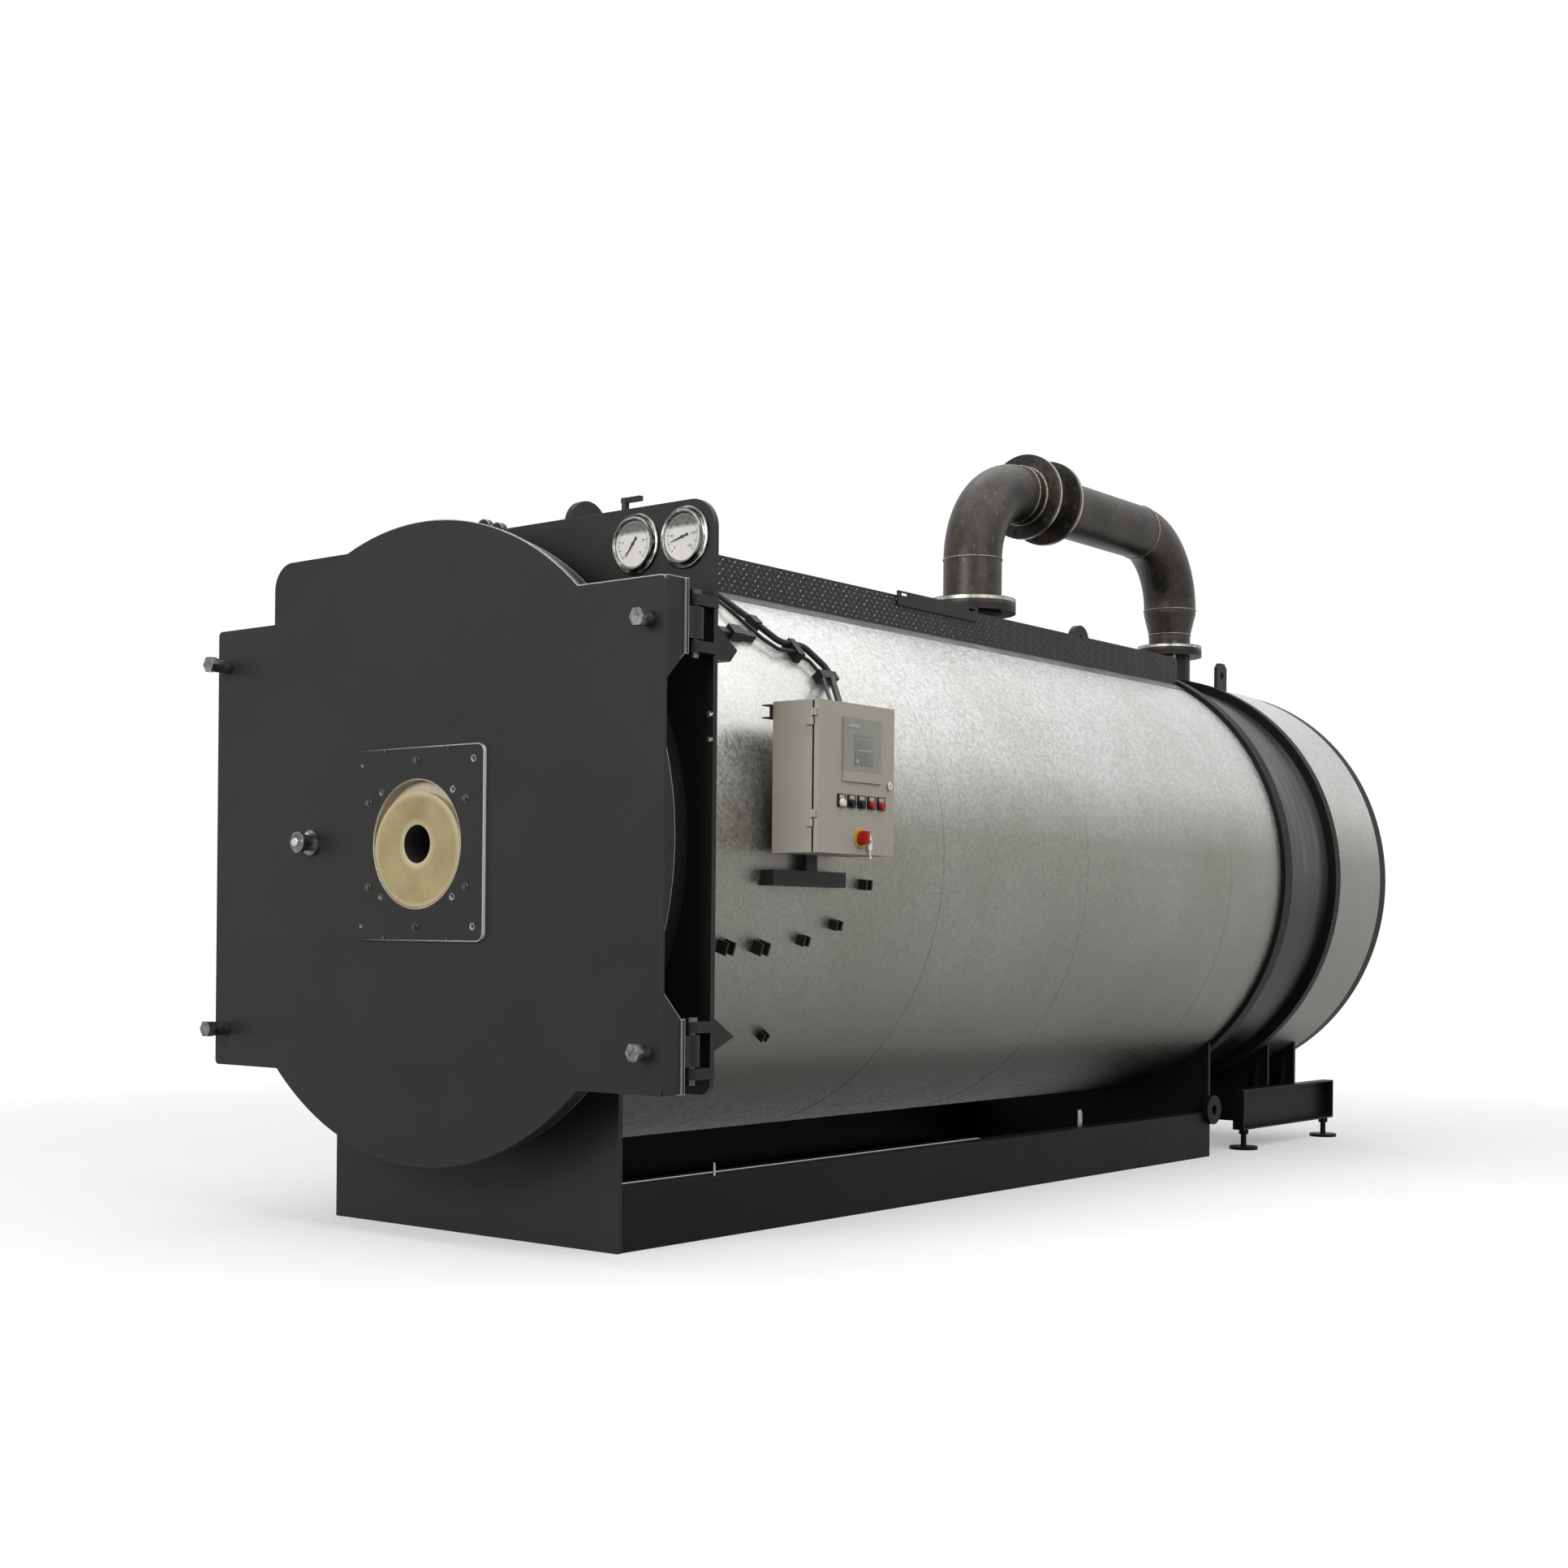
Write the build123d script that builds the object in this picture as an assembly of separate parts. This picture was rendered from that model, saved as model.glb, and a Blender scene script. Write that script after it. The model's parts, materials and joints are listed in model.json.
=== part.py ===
import math
import os
from build123d import *

os.makedirs("parts", exist_ok=True)

# Lengths are in millimetres, X to the right seen from the front, Y to the rear, Z up
# The origin is the middle of the front plate's foot, on the ground

# Boiler axis and front plate
axis_clear = 293
plate_t = 20
plate_side_over = 43
plate_top_over = 35
plate_low_drop = 810
plate_corner_r = 100
plate_low_corner_r = 40
foot_over = 6
foot_root = 200
front_y = -plate_t / 2
back_y = plate_t / 2

# Pressure shell, cladding and what closes them
shell_r = 980
shell_wall = 20
cladding_t = 82
cladding_len = 4189
tube_plate_t = 25
furnace_r = 430
furnace_wall = 16
furnace_len = 3500
rear_plate_in = 109
tube_end_r = 38
tube_end_wall = 6
tube_end_stand = 10
tube_ring_in = 220
tube_count = 32

# Rear ring, connecting band and flue gas module
ring_over = 23
ring_w = 75
band_in = 34
band_wall = 28
band_len = 530
module_ring_over = 8
module_ring_w = 54
module_in = 6
module_len = 466
module_flange_in = 12
module_flange_t = 70
module_flange_w = 120
module_cover_t = 70
flue_r = 300
flue_wall = 8
flue_stand = 180

# Front collar round the opening and the door
collar_over = 20
collar_len = 136
door_front_gap = 246
door_over = 38
door_side_over = 12
door_top_up = 813
door_low_drop = 800
door_corner_r = 18
door_sheet_t = 12
door_rim_t = 20
door_rim_depth = 92
door_rim_in = 15
door_lip_t = 14
door_lip_over = 5
door_box_in = 190
door_box_h = 237
door_box_slope = 82
lining_gap = 20
lining_depth = 80
burner_hole_r = 220
burner_half = 330
burner_plate_t = 12
burner_corner_r = 30
burner_stud_pos = 180
burner_stud_r = 9
burner_edge_pos = 280
plug_recess = 40
plug_dome = 30
plug_t = 136
plug_hole_r = 66
sight_x = -563
sight_up = 15
sight_r = 30
sight_len = 70
clamp_in = 64
clamp_r = 26
clamp_len_left = 95
clamp_len_right = 62
nut_r = 31
nut_t = 26
door_lug_r = 32
door_lug_t = 24
door_lug_degs = (76.3, 72.8)
door_lug_y = -214

# Door hinges on the right side
hinge_in = 10
hinge_y = -95
hinge_pin_r = 16
hinge_play = 0.05
hinge_eye_r = 30
hinge_lug_t = 35
hinge_barrel_h = 100
hinge_gap = 6
hinge_high_up = 679
hinge_low_drop = 665
pin_over = 18
pin_head_r = 23
pin_head_t = 14
gusset_in = 120
gusset_up = 45
gusset_h = 140
gusset_drop = 100
gusset_back = 35
gusset_low_up = 95
gusset_low_top = 50
gusset_low_drop = 60
gusset_low_h = 125
gusset_w = 80
gusset_len = 145

# Gauges on the front plate
gauge_left_in = 338
gauge_right_in = 124
gauge_down = 121
gauge_bezel = 8
gauge_flange_r = 101
gauge_flange_t = 5
gauge_r = 84
gauge_depth = 52
gauge_dial_sink = 8
gauge_stem_r = 14
gauge_stem_len = 80
cock_r = 13
cock_shift = 155
cock_up = 68
cock_lever_len = 72
cock_lever_w = 18
cock_lever_t = 16

# Walkway on the crown
walk_half_w = 500
walk_t = 8
walk_over = 15
walk_end_t = 10
walk_end_over = 14
walk_end_corner_r = 45
lip_w = 45
lip_t = 6
bar_y = 1830
bar_len = 580
bar_h = 58
bar_t = 10
bar_drop = 40
bar_slot_inset = 45
bar_slot_len = 50
bar_slot_h = 12
bar_slot_up = 40

# Pipe loop over the crown
riser_back = 1064
return_back = 246
pipe_r = 136.5
pipe_wall = 7
flange_r = 202.5
flange_t = 32
small_pipe_r = 109.5
small_flange_r = 170
small_flange_t = 28
nozzle_over = 173
elbow_r = 370
run_over = 590
spool_back = 465
spool_len = 165
reducer_over = 90
reducer_h = 110

# Lifting lugs
lug_t = 30
lug_front_y = 547
lug_rear_in = 101
lug_r = 98
lug_rear_r = 80
lug_eye_over = 140
lug_rear_eye_over = 123
lug_hole_r = 32
lug_slot_gap = 8
module_lug_x = 290
module_lug_back = 271
module_lug_w = 104
module_lug_h = 140
module_lug_t = 20
module_lug_chamfer = 25
module_lug_root = 40
module_lug_hole_r = 20
module_lug_hole_up = 77

# Base frame under the boiler
beam_in = 274
beam_h = 215
beam_flange = 80
beam_t = 10
saddle_t = 20
saddle_set_back = 11
eye_r = 70
eye_hole_r = 24
eye_t = 24
eye_z = 226

# Frame and feet under the flue gas module
frame_in = 66
frame_back = 291
frame_len = 1060
frame_low_z = 100
frame_h = 200
frame_flange = 60
frame_t = 8
rest_front_back = 146
rest_rear_back = 456
rest_t = 20
rest_over = 45
rest_rib_in = 60
rest_rib_len = 110
rest_rib_h = 130
rest_rib_t = 12
foot_inset = 60
foot_pad_r = 70
foot_pad_t = 16
foot_rod_r = 14
foot_nut_r = 26
foot_nut_t = 24

# Control cabinet on the right side
cab_back_gap = 38
cab_depth = 164
cab_y = 299
cab_w = 420
cab_low_drop = 29
cab_h = 498
cab_wall = 3
cab_door_gap = 8
cab_door_t = 18
cab_hinge_r = 6
cab_pin_r = 3
cab_pin_play = 0.05
cab_hinge_out = 8
cab_hinge_h = 24
cab_hinge_gap = 6
cab_hinge_low_up = 84
cab_hinge_high_up = 414
cab_plate_t = 3
cab_plate_margin = 30
cab_plate_stand = 20
cab_spacer_r = 8
cab_knuckle_in = 4
cab_leaf_t = 6
cab_leaf_len = 22
display_y = 427
display_w = 213
display_up = 239
display_h = 211
display_t = 6
button_y = 423
button_pitch = 55
button_count = 5
button_up = 174
button_r = 14
button_len = 16
legend_w = 44
legend_t = 3
lock_y = 688
lock_up = 236
lock_r = 13
lock_t = 8
switch_y = 530
switch_up = 55
switch_plate_r = 34
switch_plate_t = 4
switch_gap = 1
switch_r = 24
switch_len = 30
switch_base_t = 10
switch_grip_w = 14
switch_grip_in = 2
switch_pin_r = 5
switch_play = 0.05
rail_y = 285
rail_len = 448
rail_up = 444
rail_h = 45
rail_t = 4
post_y = 485
post_w = 60
post_gap = 2
tee_drop = 106
tee_h = 52
tee_over = 52
tee_root = 106
tee_y = 292
tee_len = 396

# Cable conduits, clips and holder stubs on the cladding
conduit_r = 12
signal_r = 7
conduit_bend = 45
signal_bend = 30
conduit_stand = 26
conduit_start_in = 10
conduit_entry_in = 60
entry_drop = 30
power_start_y = 616
line_step = 100
power_row = ((15.4, 0.24), (20.7, 0.84), (20.8, 2.22), (25.7, 2.68), (28.2, 2.72))
power_entry_y = 605
signal_start_y = 596
signal_start_down = 8
signal_row = ((12.4, -0.39), (20.6, 0.10), (23.0, 0.64), (22.9, 1.49), (24.9, 2.12), (28.4, 2.36))
signal_entry_y = 560
clip_h = 40
clip_root = 10
clip_row = ((15.5, 0.26, 0.40, 0.44), (22.1, 1.50, 0.34, 0.80), (28.3, 2.44, 0.96, 0.34))
stub_step = 100
stub_row = ((-6.4, 8.56, 0.36), (-14.1, 7.23, 0.34), (-17.1, 5.60, 0.34))
stub_row += ((-18.4, 3.34, 0.44), (-18.3, 1.53, 0.44), (-37.1, 5.59, 0.30))
stub_root = 10
stub_base = 12
stub_wall = 7
sensor_deg = 43.3
sensor_y = 387
sensor_len = 188
sensor_w = 26
sensor_h = 28
sensor_block_y = 440
sensor_block_len = 62
sensor_block_w = 46
sensor_block_h = 38

clad_r = shell_r + cladding_t
axis_z = clad_r + axis_clear
beam_half_w = shell_r - beam_in
foot_half_w = beam_half_w + foot_over
frame_x = beam_half_w - frame_in
plate_low_z = axis_z - plate_low_drop
door_top_z = axis_z + door_top_up
door_low_z = axis_z - door_low_drop
sight_z = axis_z + sight_up
hinge_high_z = axis_z + hinge_high_up
hinge_low_z = axis_z - hinge_low_drop
cab_low_z = axis_z - cab_low_drop
cab_hinge_low_z = cab_low_z + cab_hinge_low_up
cab_hinge_high_z = cab_low_z + cab_hinge_high_up
display_z = cab_low_z + display_up
button_z = cab_low_z + button_up
lock_z = cab_low_z + lock_up
switch_z = cab_low_z + switch_up
rail_z = cab_low_z + rail_up
tee_z = cab_low_z - tee_drop
clad_top_z = axis_z + clad_r
plate_half_w = clad_r + plate_side_over
plate_top_z = clad_top_z + plate_top_over
tube_ring_r = shell_r - tube_ring_in
ring_r = clad_r + ring_over
band_r = clad_r - band_in
module_ring_r = clad_r + module_ring_over
module_r = clad_r - module_in
module_flange_r = clad_r - module_flange_in
module_flange_bore_r = module_flange_r - module_flange_w
collar_r = shell_r + collar_over
door_r = clad_r + door_over
door_half_w = plate_half_w + door_side_over
door_rim_r = door_r - door_rim_in
clamp_x = door_half_w - clamp_in
hinge_x = plate_half_w - hinge_in
gusset_x = plate_half_w - gusset_in
gauge_left_x = plate_half_w - gauge_left_in
gauge_right_x = plate_half_w - gauge_right_in
gauge_z = plate_top_z - gauge_down
walk_top_z = clad_top_z + walk_over
nozzle_top_z = clad_top_z + nozzle_over
return_nozzle_top_z = nozzle_top_z
run_z = nozzle_top_z + run_over
reducer_low_z = nozzle_top_z + reducer_over
reducer_top_z = reducer_low_z + reducer_h
lug_eye_z = clad_top_z + lug_eye_over
lug_rear_eye_z = clad_top_z + lug_rear_eye_over
saddle_top_z = axis_z - math.sqrt(clad_r * clad_r - beam_half_w * beam_half_w)
rest_top_z = axis_z - math.sqrt(module_r * module_r - frame_x * frame_x) + rest_over
cab_back_x = clad_r + cab_back_gap
tee_x = clad_r + tee_over
clad_end_y = back_y + cladding_len
ring_end_y = clad_end_y + ring_w
band_end_y = ring_end_y + band_len
rear_plate_y = clad_end_y - rear_plate_in
riser_y = clad_end_y - riser_back
spool_y = riser_y + spool_back
lug_rear_y = clad_end_y - lug_rear_in
return_y = band_end_y + return_back
module_lug_y = band_end_y + module_lug_back
frame_y = ring_end_y + frame_back
rest_front_y = band_end_y + rest_front_back
rest_rear_y = band_end_y + rest_rear_back
module_y = band_end_y + module_ring_w
module_end_y = module_y + module_len
cover_y = module_end_y + module_flange_t
cover_end_y = cover_y + module_cover_t
door_y = front_y - door_front_gap
sheet_back_y = door_y + door_sheet_t
rim_back_y = door_y + door_rim_depth
shell_bore_r = shell_r - shell_wall


# Round bar along Y
def bar_y_dir(r, y0, y1, x=0, z=axis_z):
    return Pos(x, (y0 + y1) / 2, z) * Rot(90, 0, 0) * Cylinder(r, y1 - y0)


# Ring along Y
def ring_y(r, bore, y0, y1, x=0, z=axis_z):
    return bar_y_dir(r, y0, y1, x, z) - bar_y_dir(bore, y0 - 1, y1 + 1, x, z)


# Round bar along Z
def bar_z_dir(r, z0, z1, x=0, y=0):
    return Pos(x, y, (z0 + z1) / 2) * Cylinder(r, z1 - z0)


# Round bar along X
def bar_x_dir(r, x0, x1, y=0, z=0):
    return Pos((x0 + x1) / 2, y, z) * Rot(0, 90, 0) * Cylinder(r, x1 - x0)


# Block between two corners
def block(x0, x1, y0, y1, z0, z1):
    return Pos((x0 + x1) / 2, (y0 + y1) / 2, (z0 + z1) / 2) * Box(x1 - x0, y1 - y0, z1 - z0)


# Plate drawn in X and Z
def plate_xz(sketch, y0, y1):
    return Pos(0, y1, 0) * extrude(Plane.XZ * sketch, amount=y1 - y0)


# Plate drawn in Y and Z
def plate_yz(sketch, x0, x1):
    return Pos(x0, 0, 0) * extrude(Plane.YZ * sketch, amount=x1 - x0)


# Point on a circle round the boiler axis
def around(r, deg, y):
    return (r * math.cos(math.radians(deg)), y, axis_z + r * math.sin(math.radians(deg)))


# Write one node
def save(name, shape):
    export_step(shape, "parts/" + name + ".step")


# Height of a circle round the boiler axis over a given X
def crown_z(r, x):
    return axis_z + math.sqrt(r * r - x * x)


# Front plate with its foot
upper_h = plate_top_z - plate_low_z
face = Pos(0, plate_low_z + upper_h / 2) * Rectangle(2 * plate_half_w, upper_h)
corner_pts = face.vertices().sort_by(Axis.Y)
face = fillet(corner_pts[2:], plate_corner_r)
low_pts = face.vertices().filter_by(lambda v: abs(v.Y - plate_low_z) < 0.01)
face = fillet(low_pts, plate_low_corner_r)
foot_h = plate_low_z + foot_root
face = face + Pos(0, foot_h / 2) * Rectangle(2 * foot_half_w, foot_h)
face = face - Pos(0, axis_z) * Circle(shell_bore_r)
front_plate = plate_xz(face, front_y, back_y)
front_plate = front_plate - bar_y_dir(gauge_stem_r, front_y - 1, back_y + 1, gauge_left_x, gauge_z)
front_plate = front_plate - bar_y_dir(gauge_stem_r, front_y - 1, back_y + 1, gauge_right_x, gauge_z)
save("front_plate", front_plate)

# Collar that the door closes on
collar_y = front_y - collar_len
save("front_collar", ring_y(collar_r, shell_bore_r, collar_y, front_y))

# Pressure shell
riser_hole = bar_z_dir(pipe_r, axis_z, nozzle_top_z, 0, riser_y)
boiler_shell = ring_y(shell_r, shell_bore_r, back_y, ring_end_y)
boiler_shell = boiler_shell - bar_z_dir(pipe_r - pipe_wall, axis_z, nozzle_top_z, 0, riser_y)
save("boiler_shell", boiler_shell)

# Front tube plate with the furnace mouth
tube_plate_y = back_y
tube_plate_back = tube_plate_y + tube_plate_t
tube_plate = bar_y_dir(shell_bore_r, tube_plate_y, tube_plate_back)
tube_plate = tube_plate - bar_y_dir(furnace_r, tube_plate_y - 1, tube_plate_back + 1)
save("front_tube_plate", tube_plate)

# Smoke tube ends standing out of the tube plate
tube_ends = []
for i in range(tube_count):
    a = 360 / tube_count * (i + 0.5)
    cx, cy, cz = around(tube_ring_r, a, 0)
    stand_y = tube_plate_y - tube_end_stand
    tube_ends.append(ring_y(tube_end_r, tube_end_r - tube_end_wall, stand_y, tube_plate_y, cx, cz))
save("smoke_tube_ends", Compound(children=tube_ends))

# Furnace tube, closed at its rear end
furnace_end = tube_plate_y + furnace_len
furnace = bar_y_dir(furnace_r, tube_plate_y, furnace_end)
furnace = furnace - bar_y_dir(furnace_r - furnace_wall, tube_plate_y - 1, furnace_end - furnace_wall)
save("furnace_tube", furnace)

# Rear tube plate
save("rear_tube_plate", bar_y_dir(shell_bore_r, rear_plate_y, rear_plate_y + tube_plate_t))

# Insulated cladding of the boiler
cladding = ring_y(clad_r, shell_r, back_y, clad_end_y) - riser_hole
for lug_y in (lug_front_y, lug_rear_y):
    lug_half = lug_r if lug_y == lug_front_y else lug_rear_r
    slot = block(-lug_t / 2, lug_t / 2, lug_y - lug_half, lug_y + lug_half, axis_z, walk_top_z)
    cladding = cladding - slot
save("shell_cladding", cladding)

# Rear ring and connecting band
save("rear_ring", ring_y(ring_r, shell_r, clad_end_y, ring_end_y))
save("connecting_band", ring_y(band_r, band_r - band_wall, ring_end_y, band_end_y))

# Flue gas module
return_hole = bar_z_dir(small_pipe_r, axis_z, return_nozzle_top_z, 0, return_y)
module_bore_r = band_r - band_wall
save("module_ring", ring_y(module_ring_r, module_bore_r, band_end_y, module_y))
module_body = ring_y(module_r, module_bore_r, module_y, module_end_y) - return_hole
save("module_cladding", module_body)
save("module_flange", ring_y(module_flange_r, module_flange_bore_r, module_end_y, cover_y))
save("module_cover", ring_y(module_flange_r, flue_r - flue_wall, cover_y, cover_end_y))
flue_end_y = cover_end_y + flue_stand
save("flue_outlet", ring_y(flue_r, flue_r - flue_wall, cover_end_y, flue_end_y))

# Front door sheet
door_mid_z = (door_top_z + door_low_z) / 2
outline = Pos(0, door_mid_z) * RectangleRounded(2 * door_half_w, door_top_z - door_low_z, door_corner_r)
outline = outline + Pos(0, axis_z) * Circle(door_r)
outline = outline - Pos(0, axis_z) * Circle(burner_hole_r)
door_sheet = plate_xz(outline, door_y, sheet_back_y)
save("door_sheet", door_sheet)

# Door rim with the four corner boxes that carry the hinges and clamps
door_rim = ring_y(door_rim_r, door_rim_r - door_rim_t, sheet_back_y, rim_back_y)
box_out = door_half_w
box_in = door_half_w - door_box_in
lip_back = rim_back_y + door_lip_t
full_z = door_top_z - door_box_h
slope_z = full_z - door_box_slope
high_out = [(sheet_back_y, door_top_z), (rim_back_y, door_top_z)]
high_in = [(rim_back_y, full_z), (sheet_back_y, slope_z)]
high_box = make_face(Polyline(*high_out, *high_in, close=True))
low_full_z = door_low_z + door_box_h
low_slope_z = low_full_z + door_box_slope
low_out = [(sheet_back_y, door_low_z), (rim_back_y, door_low_z)]
low_in = [(rim_back_y, low_full_z), (sheet_back_y, low_slope_z)]
low_box = make_face(Polyline(*low_out, *low_in, close=True))
core = bar_y_dir(door_rim_r - door_rim_t / 2, door_y, front_y)
for side in (-1, 1):
    x0 = box_in if side > 0 else -box_out
    x1 = box_out if side > 0 else -box_in
    lip_x0 = box_in if side > 0 else -box_out - door_lip_over
    lip_x1 = box_out + door_lip_over if side > 0 else -box_in
    door_rim = door_rim + (plate_yz(high_box, x0, x1) - core)
    door_rim = door_rim + (plate_yz(low_box, x0, x1) - core)
    high_lip = block(lip_x0, lip_x1, rim_back_y, lip_back, full_z, door_top_z)
    low_lip = block(lip_x0, lip_x1, rim_back_y, lip_back, door_low_z, low_full_z)
    door_rim = door_rim + (high_lip - core)
    door_rim = door_rim + (low_lip - core)
for deg in door_lug_degs:
    lug_x, lug_y, lug_z = around(door_rim_r, deg, door_lug_y)
    door_lug = bar_y_dir(door_lug_r, door_lug_y, door_lug_y + door_lug_t, lug_x, lug_z)
    door_rim = door_rim + (door_lug - core)
save("door_rim", door_rim)

# Refractory lining of the door, stepped into the collar
lining_r = shell_bore_r - lining_gap
lining_back = collar_y + lining_depth
rim_bore_r = door_rim_r - door_rim_t
lining = bar_y_dir(rim_bore_r, sheet_back_y, rim_back_y) + bar_y_dir(lining_r, rim_back_y, lining_back)
lining = lining - bar_y_dir(burner_hole_r, door_y, front_y)
save("door_lining", lining)

# Burner mounting plate
plate_y = door_y - burner_plate_t
mount = Pos(0, axis_z) * RectangleRounded(2 * burner_half, 2 * burner_half, burner_corner_r)
mount = mount - Pos(0, axis_z) * Circle(burner_hole_r)
for sx in (-1, 1):
    for sz in (-1, 1):
        mount = mount - Pos(sx * burner_stud_pos, axis_z + sz * burner_stud_pos) * Circle(burner_stud_r)
        mount = mount - Pos(sx * burner_edge_pos, axis_z + sz * burner_edge_pos) * Circle(burner_stud_r)
save("burner_plate", plate_xz(mount, plate_y, door_y))

# Refractory plug in the burner opening
plug_y = plate_y + plug_recess
plug_back_y = plug_y + plug_t
plug_front_y = plug_y - plug_dome
plug_pts = [(plug_hole_r, plug_front_y), (burner_hole_r, plug_y)]
plug_pts += [(burner_hole_r, plug_back_y), (plug_hole_r, plug_back_y)]
plug_side = make_face(Polyline(*plug_pts, close=True))
save("burner_plug", Pos(0, 0, axis_z) * revolve(plug_side, Axis.Y))

# Sight glass on the door
sight = bar_y_dir(sight_r, door_y - sight_len, door_y, sight_x, sight_z)
sight = sight + bar_y_dir(sight_r * 1.5, door_y - 14, door_y, sight_x, sight_z)
sight = sight + bar_y_dir(sight_r * 1.25, door_y - sight_len, door_y - sight_len + 16, sight_x, sight_z)
save("sight_glass", sight)

# Clamp bolts of the door
clamps = []
for cx, length in ((-clamp_x, clamp_len_left), (clamp_x, clamp_len_right)):
    for cz in (hinge_high_z, hinge_low_z):
        bolt = bar_y_dir(clamp_r, door_y - length, door_y, cx, cz)
        hexagon = Pos(cx, cz) * RegularPolygon(nut_r, 6)
        bolt = bolt + plate_xz(hexagon, door_y - length, door_y - length + nut_t)
        clamps.append(bolt)
save("door_clamp_bolts", Compound(children=clamps))

# Hinges: lugs on the front plate, barrels on the door, pins in the lugs
hinge_lugs = []
hinge_pins = []
hinge_barrels = []
for mid_z in (hinge_high_z, hinge_low_z):
    half = hinge_barrel_h / 2
    top0 = mid_z + half + hinge_gap
    low1 = mid_z - half - hinge_gap
    for z0, z1 in ((top0, top0 + hinge_lug_t), (low1 - hinge_lug_t, low1)):
        eye = bar_z_dir(hinge_eye_r, z0, z1, hinge_x, hinge_y)
        arm = block(hinge_x - hinge_eye_r, hinge_x + hinge_eye_r, hinge_y, front_y, z0, z1)
        hinge_lugs.append(eye + arm - bar_z_dir(hinge_pin_r, z0 - 1, z1 + 1, hinge_x, hinge_y))
    pin_top = top0 + hinge_lug_t
    pin = bar_z_dir(hinge_pin_r, low1 - hinge_lug_t - pin_over, pin_top, hinge_x, hinge_y)
    pin = pin + bar_z_dir(pin_head_r, pin_top, pin_top + pin_head_t, hinge_x, hinge_y)
    hinge_pins.append(pin)
    barrel = bar_z_dir(hinge_eye_r, mid_z - half, mid_z + half, hinge_x, hinge_y)
    b0 = mid_z - half
    b1 = mid_z + half
    barrel = barrel + block(hinge_x - hinge_eye_r, door_half_w, lip_back, hinge_y, b0, b1)
    barrel = barrel - bar_z_dir(hinge_pin_r + hinge_play, b0 - 1, b1 + 1, hinge_x, hinge_y)
    hinge_barrels.append(barrel)
save("hinge_lugs", Compound(children=hinge_lugs))
save("hinge_pins", Compound(children=hinge_pins))
save("hinge_barrels", Compound(children=hinge_barrels))

# Gussets behind the front plate at the hinges
g0 = back_y
g1 = back_y + gusset_len
high_z = hinge_high_z + gusset_up
g_high = [(g0, high_z), (g1, high_z - gusset_drop)]
g_high += [(g1 - gusset_back, high_z - gusset_h), (g0, high_z - gusset_h)]
low_z = hinge_low_z + gusset_low_up
g_low = [(g0, low_z), (g0 + gusset_low_top, low_z)]
g_low += [(g1, low_z - gusset_low_drop), (g0, low_z - gusset_low_h)]
gussets = []
for side in (-1, 1):
    gx0 = gusset_x if side > 0 else -gusset_x - gusset_w
    gussets.append(plate_yz(make_face(Polyline(*g_high, close=True)), gx0, gx0 + gusset_w))
    gussets.append(plate_yz(make_face(Polyline(*g_low, close=True)), gx0, gx0 + gusset_w))
save("hinge_gussets", Compound(children=gussets))

# Pressure gauge and thermometer
for name, gx in (("left", gauge_left_x), ("right", gauge_right_x)):
    gauge = bar_y_dir(gauge_flange_r, front_y - gauge_flange_t, front_y, gx, gauge_z)
    gauge = gauge + bar_y_dir(gauge_r, front_y - gauge_depth, front_y, gx, gauge_z)
    rim_y = front_y - gauge_depth
    gauge = gauge - bar_y_dir(gauge_r - gauge_bezel, rim_y - 1, rim_y + gauge_dial_sink, gx, gauge_z)
    gauge = gauge + bar_y_dir(gauge_stem_r, front_y, back_y + gauge_stem_len, gx, gauge_z)
    save("gauge_" + name, gauge)

# Cock on the left gauge line
cock_y = back_y + gauge_stem_len + cock_r
cock_x = gauge_left_x - cock_shift
lever_z = plate_top_z + cock_up
lever_y0 = cock_y - cock_lever_w / 2
lever_y1 = cock_y + cock_lever_w / 2
cock = bar_x_dir(cock_r, cock_x, gauge_left_x + cock_r, cock_y, gauge_z)
cock = cock + bar_z_dir(cock_r, gauge_z - cock_r, lever_z, cock_x, cock_y)
lever_x1 = cock_x + cock_lever_len
cock = cock + block(cock_x - cock_r, lever_x1, lever_y0, lever_y1, lever_z - cock_lever_t, lever_z)
save("gauge_cock", cock)

# Walkway with folded sides
walk_low_z = crown_z(clad_r, walk_half_w)
walk_end_y = clad_end_y - walk_end_t
walk_under = walk_top_z - walk_t
walkway = block(-walk_half_w, walk_half_w, back_y, walk_end_y, walk_low_z, walk_top_z)
inner_w = walk_half_w - walk_t
walkway = walkway - block(-inner_w, inner_w, back_y - 1, walk_end_y + 1, 0, walk_under)
walkway = walkway - bar_y_dir(clad_r, back_y - 1, walk_end_y + 1)
walkway = walkway - bar_z_dir(pipe_r + lug_slot_gap, walk_under - 1, walk_top_z + 1, 0, riser_y)
for lug_y, half in ((lug_front_y, lug_r), (lug_rear_y, lug_rear_r)):
    sx = lug_t / 2 + lug_slot_gap
    sy = half + lug_slot_gap
    walkway = walkway - block(-sx, sx, lug_y - sy, lug_y + sy, walk_under - 1, walk_top_z + 1)
save("walkway", walkway)

# Rear end plate of the walkway
end_h = walk_top_z + walk_end_over - walk_low_z
end_face = Pos(0, walk_low_z + end_h / 2) * Rectangle(2 * walk_half_w, end_h)
end_top = end_face.vertices().sort_by(Axis.Y)[2:]
end_face = fillet(end_top, walk_end_corner_r) - Pos(0, axis_z) * Circle(clad_r)
save("walkway_end", plate_xz(end_face, walk_end_y, clad_end_y))

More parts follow.
